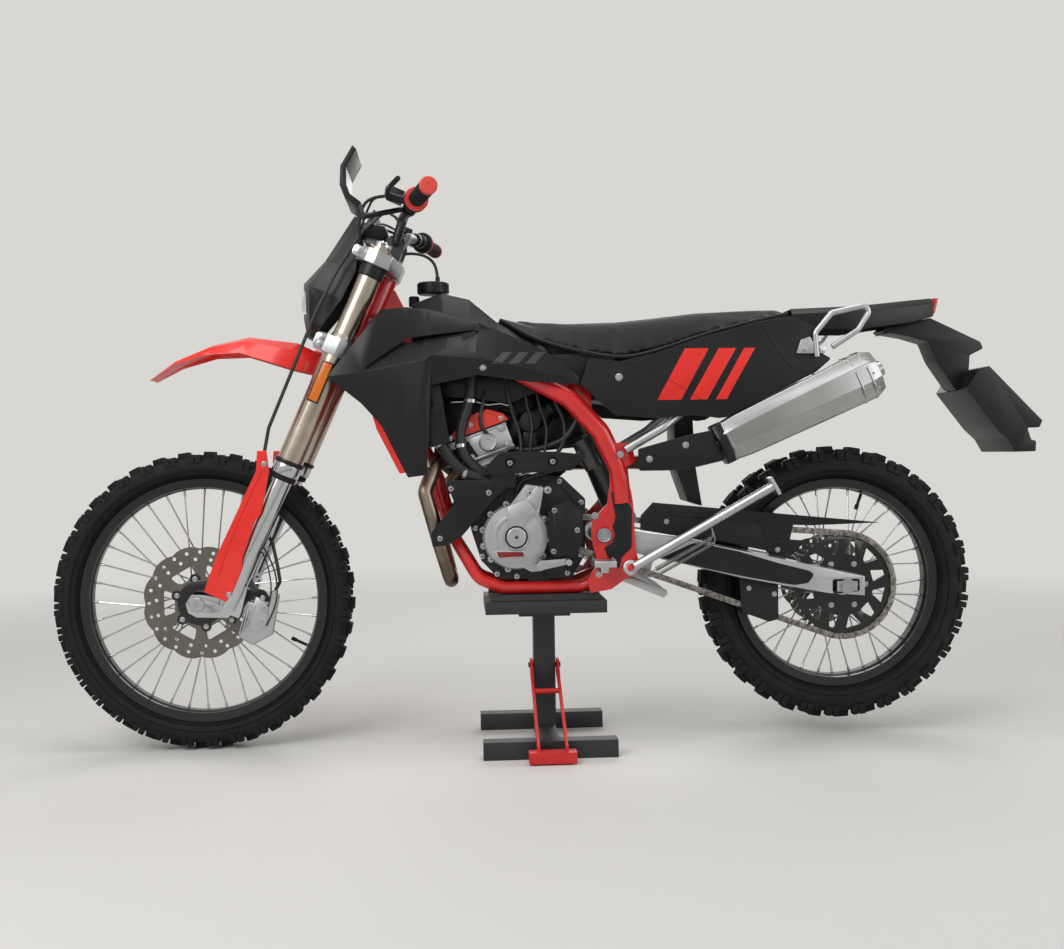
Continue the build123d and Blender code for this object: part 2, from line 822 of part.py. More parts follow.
def swingarm():
    arm = hull_loft(arm_rows, lambda y_in, y_out, low, high: [(y_in, low), (y_out, low + 3), (y_out, high - 3),
                                                              (y_in, high)])
    arm -= flat([(-642, 376), (-642, 342), (-706, 346), (-706, 376)], 80, 130, 6)
    left = arm
    right = mirror(arm, about=Plane.XZ)
    boss_end = plate_y - seat_gap
    tube = cross_bar(pivot_x, pivot_z, pivot_boss_radius, -boss_end, boss_end)
    bridge = flat([(-214, 436), (-214, 486), (-296, 474), (-296, 424)], -88, 88, 8)
    # Seat of the shock on the bridge
    bridge += flat([(-216, 481.2), (-172, 463), (-172, 440), (-216, 440)], -20, 20)
    body = left + right + tube + bridge
    return body - cross_bar(pivot_x, pivot_z, pivot_bolt_radius, -200, 200)


def pivot_bolt():
    bolt = cross_bar(pivot_x, pivot_z, pivot_bolt_radius, -112, 112)
    for side in (1, -1):
        low, high = sorted((side * (plate_y + plate_width), side * (plate_y + plate_width + 7)))
        bolt += cross_bar(pivot_x, pivot_z, 16, low, high)
    return bolt


def rear_axle():
    axle = cross_bar(rear_axle_x, rear_axle_z, rear_axle_radius, -130, 130)
    for side in (1, -1):
        for y_near, y_far, radius in ((rear_hub_end + seat_gap, 92, 19), (arm_outside, arm_outside + 3, 18),
                                      (arm_outside + 3, arm_outside + 11, 15)):
            low, high = sorted((side * y_near, side * y_far))
            axle += cross_bar(rear_axle_x, rear_axle_z, radius, low, high)
        low, high = sorted((side * 92, side * arm_outside))
        axle += block(rear_axle_x - 24, rear_axle_x + 24, low, high, rear_axle_z - 12, rear_axle_z + 12)
    return axle


def chain_guards():
    guide = flat([(-430, 384), (-522, 372), (-522, 282), (-500, 276), (-436, 300)], chain_y - 11, chain_y + 11, 6)
    slot = loop_slab(plate_height / 2 + 1.5, chain_y - 8.6, chain_y + 8.6)
    slot -= loop_slab(-plate_height / 2 - 1.5, chain_y - 20, chain_y + 20)
    guide -= slot
    top = flat([(-226, 560), (-430, 540), (-768, 504), (-600, 500), (-470, 506), (-226, 530)], 88, 92)
    tab = flat([(-500, 433.4), (-540, 424.4), (-560, 510), (-470, 520)], 88, 92)
    return [guide, top + tab]


def shock():
    top = (-69.6, 0, 757.5)
    bottom = (-188, 0, 470)
    body = rod(top, bottom, 11)
    spring_low = (-172, 0, 508.9)
    spring = rod((-84, 0, 722.6), spring_low, 34)
    tank = rod((-64, 58, 706), (-96, 58, 642), 21)
    bridge = rod((-88, 30, 700), (-80, 58, 690), 10)
    return body + spring + tank + bridge


def linkage():
    # Rocker under the swingarm with its two pull rods to the frame
    rocker = flat([(-190, 400), (-246, 366), (-272, 344), (-262, 332), (-236, 340), (-180, 376), (-176, 392)],
                  -16, 16, 4)
    rods = []
    for side in (1, -1):
        low, high = sorted((side * 24, side * 30))
        rods.append(flat([(-130.6, 398), (-130.6, 386), (-262, 330), (-272, 340), (-268, 350)], low, high, 3))
    pin = cross_bar(-262, 341, 6, -34, 34)
    lug = flat([(-224, 434.2), (-244, 431.3), (-230, 380), (-200, 380)], -12, 12)
    return rocker.fuse(*rods, pin, lug)


# Foot controls

def footpegs():
    pegs = []
    for side in (1, -1):
        low, high = sorted((side * (plate_y + plate_width), side * 190))
        arm = block(-112, -94, low, high, 408, 420)
        plate_low, plate_high = sorted((side * 126, side * 190))
        tread = block(-130, -80, plate_low, plate_high, 420, 434)
        pegs.append(arm + tread)
    return pegs


def shift_lever():
    pivot = rod((38, case_half_width + 24, 421), (38, 128, 421), 8)
    arm = flat([(40, 432), (-24, 436), (-30, 424), (40, 410)], 118, 126, 3)
    pad = rod((-26, 118, 430), (-26, 158, 430), 7)
    return pivot + arm + pad


def brake_pedal():
    arm = flat([(-100, 384), (-80, 376), (40, 408), (76, 432), (66, 440), (30, 420), (-92, 396)], -124, -118, 3)
    pad = block(56, 86, -150, -118, 436, 446)
    hub = cross_bar(-88, 384, 9, -124, -105)
    return arm + pad + hub


def rear_caliper():
    body = flat([(-560, 360), (-560, 420), (-610, 440), (-640, 420), (-600, 372)], -86, -72, 6)
    return body + flat([(-565, 370), (-600, 374), (-608, 398), (-565, 398)], -91, -84)


# Front end, modelled in the steering frame: X forward of the steering axis, Z along it

def fork_tube(side):
    # Outer tube of one leg as radius and height, hollow where the inner tube slides in
    section = [(inner_tube_radius, fork_seal + 6), (outer_tube_radius, fork_seal + 6), (outer_tube_radius, 680),
               (outer_tube_top_radius, 690), (outer_tube_top_radius, fork_top), (20, fork_top), (20, fork_top + 10),
               (0, fork_top + 10), (0, fork_seal + 60.5), (inner_tube_radius, fork_seal + 60.5)]
    face = make_face(Polyline(*[(radius, 0, height) for radius, height in section], close=True))
    return Pos(clamp_offset, side * leg_y, 0) * revolve(face, Axis.Z)


def fork_leg(side):
    # Chrome inner tube in its cast lug, with the axle clamp ahead of it
    y = side * leg_y
    low, high = sorted((side * (leg_y - 22), side * (leg_y + 12)))
    tube = rod((clamp_offset, y, 20), (clamp_offset, y, fork_seal + 60), inner_tube_radius)
    lug = flat([(-10, 8), (40, 8), (54, 74), (50, 80), (0, 80)], low, high, 4)
    lug += flat([(20, 40), (steer_offset - 6, 26), (steer_offset + 20, 16), (steer_offset + 24, -8),
                 (steer_offset + 10, -24), (steer_offset - 12, -26), (10, 2)], low, high, 6)
    lug -= cross_bar(steer_offset, 0, front_axle_radius, -200, 200)
    return tube + lug


def clamp_plate(low, high, front, back, bore):
    plate_face = make_face(FilletPolyline((back, -34), (back + 20, -leg_y - 30), (clamp_offset, -leg_y - 36),
                                          (front - 26, -leg_y - 30), (front, -leg_y + 12), (front - 34, -40),
                                          (front - 34, 40), (front, leg_y - 12), (front - 26, leg_y + 30),
                                          (clamp_offset, leg_y + 36), (back + 20, leg_y + 30), (back, 34),
                                          radius=7, close=True))
    plate = Pos(0, 0, low) * extrude(plate_face, amount=high - low)
    for side in (1, -1):
        plate -= rod((clamp_offset, side * leg_y, low - 1), (clamp_offset, side * leg_y, high + 1), bore)
    return plate


clamp_front = 84


def triple_clamps():
    lower = clamp_plate(clamp_low, 678, clamp_front, -14, outer_tube_radius)
    upper = clamp_plate(862, 894, 76, -30, outer_tube_top_radius)
    stem = rod((0, 0, 678), (0, 0, 904), stem_radius)
    nut = rod((0, 0, 894), (0, 0, 906), 19)
    return lower + upper + stem + nut


def handlebar_tube():
    run = [(-46, 402, 1021), (-16, 250, 1006), (6, 128, 985), (6, 70, 938), (6, -70, 938), (6, -128, 985),
           (-16, -250, 1006), (-46, -402, 1021)]
    return pipe(run, 11, 34)


def handlebar():
    # The bent bar in its clamp on the upper triple clamp
    bar = handlebar_tube()
    clamps = []
    for side in (1, -1):
        low, high = sorted((side * 30, side * 56))
        clamps.append(flat([(-16, 894), (28, 894), (26, 944), (16, 954), (-4, 954), (-14, 944)], low, high, 3))
    return bar + clamps[0] + clamps[1]


def grip(side):
    inner = (-20, side * 272, 1008.2)
    outer = (-47, side * 408, 1021.6)
    flange = (-18, side * 262, 1007.2)
    return rod(inner, outer, 17) + rod(flange, inner, 26) - handlebar_tube()


def hand_control(side):
    ring_low = (-12.5, side * 232, 1004.2)
    ring_high = (-17, side * 256, 1006.6)
    body = rod(ring_low, ring_high, 17)
    body += rod((-14, side * 240, 1005), (44, side * 246, 996), 9)
    lever = pipe([(44, side * 240, 996), (40, side * 300, 1000), (16, side * 400, 1010)], 5.5, 30)
    tank = block(12, 46, *sorted((side * 208, side * 242)), 992, 1020)
    return body + lever + tank - handlebar_tube()


def handguard(side):
    low, high = sorted((side * 250, side * 400))
    shell = flat([(66, 924), (98, 930), (118, 950), (132, 986), (126, 1034), (116, 1030), (120, 988), (106, 956),
                  (92, 942), (66, 936)], low, high)
    arm = rod((72, side * 258, 930), (2, side * 194, 994), 6)
    collar = rod((-5.5, side * 188, 995.8), (-7.4, side * 200, 998), 16)
    return shell + arm + collar - handlebar_tube()


def headlamp_mask():
    # Stations down the front: height, back x, front x, half width
    rows = [(655, 90, 112, 58), (690, 86, 134, 80), (765, 66, 166, 92), (835, 62, 142, 84), (960, 104, 124, 40)]
    faces = []
    for height, back, front, half in rows:
        points = [(back, -half), (front - 18, -half * 0.8), (front, -half * 0.35), (front, half * 0.35),
                  (front - 18, half * 0.8), (back, half)]
        faces.append(Plane.XY.offset(height) * make_face(Polyline(*points, close=True)))
    body = loft(faces, ruled=True)
    inner = []
    for height, back, front, half in rows:
        points = [(back - 10, -half + 5), (front - 22, -half * 0.8 + 5), (front - 5, -half * 0.35 + 2),
                  (front - 5, half * 0.35 - 2), (front - 22, half * 0.8 - 5), (back - 10, half - 5)]
        inner.append(Plane.XY.offset(height) * make_face(Polyline(*points, close=True)))
    shell = body - loft(inner, ruled=True) - lens_block(seat_gap)
    # The cross stay rests on the front of the lower clamp
    return shell + cross_bar(clamp_front + 6.3, 664, 7.5, -100, 100)


def lens_block(grow):
    outline = [(124, 702 - grow), (142, 702 - grow), (164, 750 + grow), (146, 752 + grow)]
    return flat(outline, -44 - grow, 44 + grow)


def headlamp_lens():
    return lens_block(0)


# Front fender stations in the steering frame: x, crown z, half width, depth of the sides
fender_rows = [
    (400, 424, 36, 6),
    (361, 487, 60, 14),
    (300, 552, 70, 26),
    (231, 602, 76, 42),
    (123, 634, 82, 62),
    (66, 632, 60, 50),
]


def front_fender():
    faces = []
    for x, crown, half, depth in fender_rows:
        outer = [(-half, crown - depth), (-half * 0.86, crown - depth * 0.28), (-half * 0.5, crown),
                 (half * 0.5, crown), (half * 0.86, crown - depth * 0.28), (half, crown - depth)]
        inner = [(half - 4, crown - depth), (half * 0.86 - 4, crown - depth * 0.28 - 3), (half * 0.5 - 1, crown - 4),
                 (-half * 0.5 + 1, crown - 4), (-half * 0.86 + 4, crown - depth * 0.28 - 3), (-half + 4, crown - depth)]
        points = [(x, y, z) for y, z in outer + inner]
        faces.append(make_face(Polyline(*points, close=True)))
    return loft(faces, ruled=True) + block(12, 84, -27, 27, 630, clamp_low - seat_gap)


def fork_guard(side):
    outline = [(80, 382), (100, 374), (84, 330), (90, 124), (84, 36), (30, 34), (24, 62), (26, 118), (34, 138),
               (42, 226), (36, 248), (56, 340)]
    low, high = sorted((side * (leg_y + inner_tube_radius + seat_gap), side * 126))
    return flat(outline, low, high, 3)


def front_caliper():
    body = flat([(-30, 62), (-44, 96), (-70, 90), (-92, 0), (-60, -40), (-20, -34)], 70, 92, 8)
    return body + flat([(-40, 12), (-9.8, 12), (-4.5, 50), (-40, 50)], 76, 92)


def front_axle():
    axle = cross_bar(steer_offset, 0, front_axle_radius, -108, 112)
    axle += cross_bar(steer_offset, 0, 16, front_hub_end + 2 + seat_gap, leg_y - 22)
    axle += cross_bar(steer_offset, 0, 16, -leg_y + 22, -front_hub_end - seat_gap)
    axle += cross_bar(steer_offset, 0, 15, leg_y + 12, leg_y + 17)
    return axle


# From the right hand lever over to the left leg, down behind its guard and round to the caliper
brake_hose_run = [(29, -207.7, 1006), (29, -150, 1006), (48, -80, 1012), (62, 20, 1000), (84, 74, 930), (98, 106, 820),
                  (104, 110, 712), (98, 110, 430), (80, 106, 350), (62, 98, 290), (52, 72, 240), (26, 65, 215),
                  (-8, 74, 190), (-40, 92, 150), (-60, 90, 118), (-57, 81, 96.1)]


# Side stand and lift stand

def side_stand():
    fold = radians(stand_rest_angle)
    direction = (-cos(fold), 0, sin(fold))
    start = (stand_pivot_x, stand_pivot_y + 12, stand_pivot_z)
    end = tuple(a + b * stand_reach for a, b in zip(start, direction))
    leg = rod(start, end, stand_tube_radius)
    axis = Vector(*stand_axis())
    middle = Vector(stand_pivot_x, stand_pivot_y, stand_pivot_z)
    eye = rod(middle - axis * 12, middle + axis * 12, 17)
    foot_centre = Vector(*end)
    foot = Plane(foot_centre, x_dir=(sin(fold), 0, cos(fold)), z_dir=direction) * Box(44, 34, 8)
    leg += foot
    leg += eye
    return leg - rod(middle - axis * 30, middle + axis * 30, 8 + run_gap)


def stand_bracket():
    axis = Vector(*stand_axis())
    middle = Vector(stand_pivot_x, stand_pivot_y, stand_pivot_z)
    return rod(middle - axis * 14, middle + axis * 24, 8)


def lift_stand():
    low_x = lift_x - lift_length / 2
    high_x = lift_x + lift_length / 2
    top = lift_plate_z + lift_plate
    body = block(low_x, high_x, -lift_width / 2 + 10, lift_width / 2 + 10, lift_plate_z, top)
    pads = []
    for y in (-rail_y, rail_y):
        pads.append(block(low_x + 12, high_x - 12, y - 22, y + 22, top, pad_top))
    body = body + pads[0] + pads[1]
    body += block(lift_x - 60, lift_x + 60, -40, 60, lift_plate_z - 14, lift_plate_z)
    post_low = foot_height
    half = post_size / 2
    body += block(lift_x - half, lift_x + half, post_y - half, post_y + half, post_low - 20, lift_plate_z)
    for side in (1, -1):
        y = lift_y + side * foot_spacing / 2
        body += block(lift_x - foot_length / 2, lift_x + foot_length / 2, y - foot_width / 2, y + foot_width / 2, 0,
                      foot_height)
    body += block(lift_x - 22, lift_x + 22, lift_y - foot_spacing / 2, lift_y + foot_spacing / 2, 6, foot_height)
    body += rod((lift_x - 38, *lever_pin), (lift_x + 38, *lever_pin), 6)
    return body


lever_pin = (24, 178)     # y and z of the lever's pin through the post


def cross_flat(outline, x_low, x_high):
    # A plate drawn in Y and Z and thick in X
    edge = Polyline(*outline, close=True)
    return extrude(Plane.YZ.offset(x_low) * make_face(edge), amount=x_high - x_low)


def stand_lever():
    outline = [(8, 192), (40, 192), (74, 150), (216, 66), (262, 40), (262, 6), (236, 6), (236, 42), (206, 50),
               (60, 136), (8, 160)]
    plate_in = post_size / 2 + 3
    body = cross_flat(outline, lift_x + plate_in, lift_x + plate_in + 6)
    body += cross_flat(outline, lift_x - plate_in - 6, lift_x - plate_in)
    body += rod((lift_x - plate_in, 90, 128), (lift_x + plate_in, 90, 128), 6)
    body += block(lift_x - 52, lift_x + 52, 236, 270, 4, 28)
    return body - rod((lift_x - 60, *lever_pin), (lift_x + 60, *lever_pin), 6)


bodies = {
    "front_tyre": tyre(front_stations, front_sidewall, 267.3, 36, front_lugs, front_axle_x, front_axle_z),
    "front_rim": ring(mirrored_section(front_rim_section), front_axle_x, front_axle_z),
    "front_hub": spoke_hub(front_hub_core, 27, 32, 258.2, 4, front_axle_radius + run_gap, front_axle_x, front_axle_z),
    "front_disc": Pos(front_axle_x, 0, front_axle_z) * wave_disc(
        12, 130, 124, 24, front_disc_y, front_disc_y + front_disc_thickness, 6, 62, 88, [(100, 18, 4), (116, 24, 0)]),
    "rear_tyre": tyre(rear_stations, rear_sidewall, 232.3, 30, rear_lugs, rear_axle_x, rear_axle_z),
    "rear_rim": ring(mirrored_section(rear_rim_section), rear_axle_x, rear_axle_z),
    "rear_hub": spoke_hub(rear_hub_core, 36, 39.5, 222.3, 5, rear_axle_radius + run_gap, rear_axle_x, rear_axle_z),
    "rear_disc": Pos(rear_axle_x, 0, rear_axle_z) * wave_disc(
        10, 110, 105, 24, -rear_disc_y - rear_disc_thickness, -rear_disc_y, 5, 48, 70, [(82, 15, 6), (97, 20, 0)]),
    "rear_sprocket": sprocket(rear_teeth, sprocket_thickness, 24.3, 12, chain_y, rear_axle_x, rear_axle_z),
    "chain": chain(),
    "main_frame": main_frame() + stand_bracket(),
    "subframe": subframe(),
    "engine_cases": engine_cases(),
    "throttle_body": throttle_body(),
    "engine_covers": Compound(children=[stator_cover(), clutch_cover()]),
    "sprocket_guard": sprocket_guard(),
    "cylinder": cylinder(),
    "valve_cover": valve_cover(),
    "engine_guards": engine_guards(),
    "exhaust_pipe": exhaust_pipe(),
    "exhaust_shield": exhaust_shield(),
    "muffler": muffler(),
    "seat": seat(),
    "fuel_tank": fuel_tank(),
    "fuel_cap": fuel_cap(),
    "shrouds": both_sides(shroud()),
    "side_panels": both_sides(side_panel()),
    "radiators": both_sides(radiator()),
    "radiator_guards": both_sides(radiator_guard()),
    "airbox": airbox(),
    "rear_fender": rear_fender(),
    "tail_lamp": tail_lamp(),
    "plate_holder": plate_holder(),
    "grab_handles": Compound(children=[grab_handle(1), grab_handle(-1)]),
    "swingarm": swingarm(),
    "pivot_bolt": pivot_bolt(),
    "rear_axle": rear_axle(),
    "chain_guards": Compound(children=chain_guards()),
    "shock": shock(),
    "linkage": linkage(),
    "footpegs": Compound(children=footpegs()),
    "foot_levers": Compound(children=[shift_lever(), brake_pedal()]),
    "rear_caliper": rear_caliper(),
    "lift_stand": lift_stand(),
    "stand_lever": stand_lever(),
    "fork_tubes": steered_pair(fork_tube),
    "fork_legs": steered_pair(fork_leg),
    "triple_clamps": steered(triple_clamps()),
    "handlebar": steered(handlebar()),
    "grips": steered_pair(grip),
    "hand_controls": steered_pair(hand_control),
    "handguards": steered_pair(handguard),
    "headlamp_mask": steered(headlamp_mask()),
    "headlamp_lens": steered(headlamp_lens()),
    "front_fender": steered(front_fender()),
    "fork_guards": steered_pair(fork_guard),
    "front_caliper": steered(front_caliper()),
    "front_axle": steered(front_axle()),
    "brake_hose": steered(pipe(brake_hose_run, 4, 12)),
    "side_stand": side_stand(),
}

os.makedirs("parts", exist_ok=True)
for name, shape in bodies.items():
    export_step(shape, f"parts/{name}.step")
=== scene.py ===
import json
import math
import bpy
from mathutils import Matrix, Vector
from mathutils.bvhtree import BVHTree


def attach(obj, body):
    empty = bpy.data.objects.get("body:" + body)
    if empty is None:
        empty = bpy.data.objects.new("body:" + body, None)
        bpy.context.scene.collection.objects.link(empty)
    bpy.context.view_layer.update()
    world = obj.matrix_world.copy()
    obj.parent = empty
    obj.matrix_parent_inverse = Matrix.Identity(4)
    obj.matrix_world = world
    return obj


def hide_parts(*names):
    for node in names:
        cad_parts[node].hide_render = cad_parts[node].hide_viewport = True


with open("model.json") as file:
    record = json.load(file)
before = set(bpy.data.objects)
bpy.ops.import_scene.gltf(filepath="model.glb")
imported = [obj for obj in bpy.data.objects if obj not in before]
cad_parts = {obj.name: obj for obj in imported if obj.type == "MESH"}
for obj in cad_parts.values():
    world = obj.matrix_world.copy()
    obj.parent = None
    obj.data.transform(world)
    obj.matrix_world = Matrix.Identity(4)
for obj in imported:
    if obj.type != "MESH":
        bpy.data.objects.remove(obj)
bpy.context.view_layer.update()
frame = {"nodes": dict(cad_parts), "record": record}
nodes = frame["nodes"]
slotOf = {row["node"]: row["material_slot"] for row in frame["record"]["subparts"]}
bodyOf = {name: body for body, names in frame["record"]["behaviour"]["bodies"].items() for name in names}
print("stage: frame loaded,", len(nodes), "nodes")


# materials

def addNode(tree, kind, values=None, **settings):
    # One shader node with its settings and its input values
    node = tree.nodes.new("ShaderNode" + kind)
    for key, value in settings.items():
        setattr(node, key, value)
    for key, value in (values or {}).items():
        node.inputs[key].default_value = value
    return node


def wire(source, output, target, entry):
    source.id_data.links.new(source.outputs[output], target.inputs[entry])


def newSurface(name, dark, light, rough, **look):
    # One finish: two tones mixed by a soft noise, fine grain in the bump, and gloss that varies
    mat = bpy.data.materials.new(name)
    mat.use_nodes = True
    tree = mat.node_tree
    shader = tree.nodes["Principled BSDF"]
    coords = addNode(tree, "TexCoord")
    stretch = addNode(tree, "Mapping", {"Scale": look.get("stretch", (1, 1, 1)),
        "Rotation": [math.radians(a) for a in look.get("turn", (0, 0, 0))]})
    patchNoise = addNode(tree, "TexNoise", {"Scale": look.get("patch", 14.0), "Detail": 5.0})
    grainNoise = addNode(tree, "TexNoise", {"Scale": look.get("grain", 700.0), "Detail": 3.0})
    tones = addNode(tree, "ValToRGB")
    for stop, position, tone in zip(tones.color_ramp.elements, (0.35, 0.68), (dark, light)):
        stop.position = position
        stop.color = (*tone, 1)
    half = addNode(tree, "Math", {1: 0.5}, operation="MULTIPLY")
    mixed = addNode(tree, "Math", {1: 0.5}, operation="MULTIPLY_ADD")
    gloss = addNode(tree, "MapRange", {"To Min": rough[0], "To Max": rough[1]})
    bump = addNode(tree, "Bump", {"Strength": look.get("bump", 0.2), "Distance": look.get("depth", 0.0003)})
    for source, output, target, entry in (
            (coords, "Object", stretch, "Vector"), (coords, "Object", patchNoise, "Vector"),
            (stretch, "Vector", grainNoise, "Vector"), (patchNoise, "Fac", tones, "Fac"),
            (tones, "Color", shader, "Base Color"), (patchNoise, "Fac", half, 0), (grainNoise, "Fac", mixed, 0),
            (half, "Value", mixed, 2), (mixed, "Value", gloss, "Value"), (gloss, "Result", shader, "Roughness"),
            (grainNoise, "Fac", bump, "Height"), (bump, "Normal", shader, "Normal")):
        wire(source, output, target, entry)
    shader.inputs["Coat Roughness"].default_value = 0.08
    for entry, key, usual in (("Metallic", "metal", 0.0), ("Coat Weight", "coat", 0.0),
            ("Sheen Weight", "sheen", 0.0), ("Specular IOR Level", "specular", 0.5)):
        shader.inputs[entry].default_value = look.get(key, usual)
    if "clear" in look:
        shader.inputs["Transmission Weight"].default_value = look["clear"]
        shader.inputs["IOR"].default_value = 1.5
    return mat


tyreRubber = newSurface("tyreRubber", (0.006, 0.0061, 0.0066), (0.012, 0.0121, 0.0128), (0.62, 0.86), patch=22,
    grain=420, bump=0.35, depth=0.0006, specular=0.25)
blackAnodised = newSurface("blackAnodised", (0.004, 0.004, 0.0045), (0.008, 0.008, 0.009), (0.22, 0.38), coat=0.25,
    grain=900, bump=0.08, specular=0.4)
spokeWire = newSurface("spokeWire", (0.42, 0.43, 0.45), (0.56, 0.57, 0.59), (0.18, 0.34), metal=1.0, grain=600,
    bump=0.08)
groundSteel = newSurface("groundSteel", (0.15, 0.135, 0.122), (0.19, 0.172, 0.156), (0.28, 0.42), metal=1.0, patch=12,
    grain=1200, bump=0.1)
chainSteel = newSurface("chainSteel", (0.1, 0.095, 0.09), (0.34, 0.32, 0.29), (0.3, 0.55), metal=1.0, patch=120,
    grain=900, bump=0.2)
frameRed = newSurface("frameRed", (0.6, 0.01, 0.012), (0.74, 0.016, 0.016), (0.24, 0.36), coat=0.5, grain=260,
    bump=0.06, depth=0.0002)
satinAlloy = newSurface("satinAlloy", (0.44, 0.45, 0.46), (0.51, 0.52, 0.53), (0.28, 0.44), metal=0.95, grain=800,
    bump=0.18)
castAlloy = newSurface("castAlloy", (0.42, 0.42, 0.43), (0.5, 0.5, 0.51), (0.34, 0.5), metal=0.92, patch=26,
    grain=520, bump=0.35, depth=0.0004)
darkCast = newSurface("darkCast", (0.016, 0.016, 0.017), (0.028, 0.028, 0.03), (0.42, 0.62), metal=0.5, patch=30,
    grain=520, bump=0.4, depth=0.0004)
coverRed = newSurface("coverRed", (0.7, 0.03, 0.014), (0.84, 0.045, 0.02), (0.3, 0.42), coat=0.3, grain=500,
    bump=0.12)
blackPlastic = newSurface("blackPlastic", (0.0055, 0.0058, 0.0066), (0.0095, 0.01, 0.0112), (0.3, 0.44), patch=8,
    grain=1100, bump=0.22, depth=0.0002, specular=0.32)
redPlastic = newSurface("redPlastic", (0.78, 0.018, 0.012), (0.9, 0.026, 0.016), (0.22, 0.34), patch=6, grain=800,
    bump=0.06, coat=0.2)
heatedSteel = newSurface("heatedSteel", (0.13, 0.095, 0.07), (0.34, 0.28, 0.235), (0.26, 0.44), metal=1.0, patch=11,
    grain=700, bump=0.12)
brushedMuffler = newSurface("brushedMuffler", (0.33, 0.33, 0.33), (0.4, 0.4, 0.4), (0.24, 0.38), metal=1.0, patch=10,
    grain=240, stretch=(0.12, 1.0, 1.0), turn=(0, -24.5, 0), bump=0.12, depth=0.0002)
seatCover = newSurface("seatCover", (0.005, 0.0054, 0.0062), (0.009, 0.0096, 0.0108), (0.5, 0.66), patch=12,
    grain=620, bump=0.45, depth=0.0005, sheen=0.15, specular=0.28)
lensClear = newSurface("lensClear", (0.8, 0.84, 0.88), (0.92, 0.94, 0.97), (0.04, 0.1), bump=0.04, grain=140,
    clear=0.55)
lampRed = newSurface("lampRed", (0.48, 0.01, 0.01), (0.66, 0.015, 0.012), (0.06, 0.14), bump=0.1, grain=220,
    clear=0.3)
forkGold = newSurface("forkGold", (0.42, 0.36, 0.3), (0.58, 0.51, 0.44), (0.2, 0.32), metal=1.0, grain=900, bump=0.06)
hardChrome = newSurface("hardChrome", (0.5, 0.51, 0.53), (0.58, 0.59, 0.61), (0.1, 0.18), metal=1.0, grain=900,
    bump=0.02)
gripRubber = newSurface("gripRubber", (0.006, 0.006, 0.0065), (0.011, 0.011, 0.012), (0.62, 0.8), grain=480, bump=0.5,
    depth=0.0008, specular=0.3)
barGrey = newSurface("barGrey", (0.06, 0.06, 0.065), (0.12, 0.12, 0.125), (0.28, 0.4), metal=0.8, grain=900,
    bump=0.06)
amberLens = newSurface("amberLens", (0.74, 0.17, 0.012), (0.88, 0.25, 0.02), (0.1, 0.22), bump=0.5, grain=520,
    depth=0.0005)
coralRubber = newSurface("coralRubber", (0.66, 0.055, 0.04), (0.8, 0.08, 0.06), (0.46, 0.62), grain=420, bump=0.3)
greyCast = newSurface("greyCast", (0.2, 0.2, 0.205), (0.3, 0.3, 0.305), (0.38, 0.54), metal=0.85, grain=520, bump=0.3,
    depth=0.0004)
darkRed = newSurface("darkRed", (0.16, 0.004, 0.006), (0.22, 0.007, 0.009), (0.3, 0.42), grain=500, bump=0.1)
glossPlastic = newSurface("glossPlastic", (0.005, 0.0052, 0.0058), (0.008, 0.0083, 0.0092), (0.24, 0.34), patch=7,
    grain=900, bump=0.05, depth=0.0002, specular=0.36)
stripeGrey = newSurface("stripeGrey", (0.04, 0.041, 0.044), (0.05, 0.051, 0.054), (0.3, 0.42), patch=9, grain=900,
    bump=0.1, depth=0.0002)
springDark = newSurface("springDark", (0.02, 0.02, 0.021), (0.036, 0.036, 0.038), (0.28, 0.42), coat=0.3, grain=600,
    bump=0.1)
powderBlack = newSurface("powderBlack", (0.01, 0.01, 0.011), (0.022, 0.022, 0.023), (0.4, 0.56), grain=420, bump=0.3,
    depth=0.0003)
powderRed = newSurface("powderRed", (0.56, 0.014, 0.012), (0.7, 0.022, 0.018), (0.34, 0.48), grain=420, bump=0.2,
    depth=0.0003)
hoseRubber = newSurface("hoseRubber", (0.01, 0.01, 0.011), (0.02, 0.02, 0.021), (0.4, 0.56), grain=700, bump=0.15)

slotLooks = {
    "tyre": tyreRubber, "rim_black": blackAnodised, "spoke_steel": spokeWire, "disc_steel": groundSteel,
    "sprocket_black": blackAnodised, "chain_steel": chainSteel, "frame_red": frameRed, "alloy": satinAlloy,
    "case_alloy": castAlloy, "case_dark": darkCast, "cover_red": coverRed, "black_plastic": blackPlastic,
    "red_plastic": redPlastic, "pipe_steel": heatedSteel, "muffler_steel": brushedMuffler, "seat_cover": seatCover,
    "lens_clear": lensClear, "lamp_red": lampRed, "fork_gold": forkGold, "fork_chrome": hardChrome,
    "rubber_black": gripRubber, "bar_grey": barGrey, "spring_steel": springDark, "stand_black": powderBlack,
    "stand_red": powderRed, "stand_alloy": satinAlloy, "hose_black": hoseRubber,
}
for nodeName, obj in nodes.items():
    obj.data.materials.clear()
    obj.data.materials.append(slotLooks[slotOf[nodeName]])
print("stage: finishes on the CAD nodes")


# modelling helpers

mergeGap = 0.00002


def clearPick():
    if bpy.context.mode != "OBJECT":
        bpy.ops.object.mode_set(mode="OBJECT")
    bpy.ops.object.select_all(action="DESELECT")


def pick(obj):
    clearPick()
    obj.select_set(True)
    bpy.context.view_layer.objects.active = obj


def editAll():
    bpy.ops.object.mode_set(mode="EDIT")
    bpy.ops.mesh.select_all(action="SELECT")


def looseCopy(nodeName):
    # A copy of a CAD node that stands free of it
    obj = nodes[nodeName].copy()
    obj.data = nodes[nodeName].data.copy()
    obj.parent = None
    obj.matrix_world = Matrix.Identity(4)
    obj.hide_render = False
    bpy.context.scene.collection.objects.link(obj)
    pick(obj)
    return obj


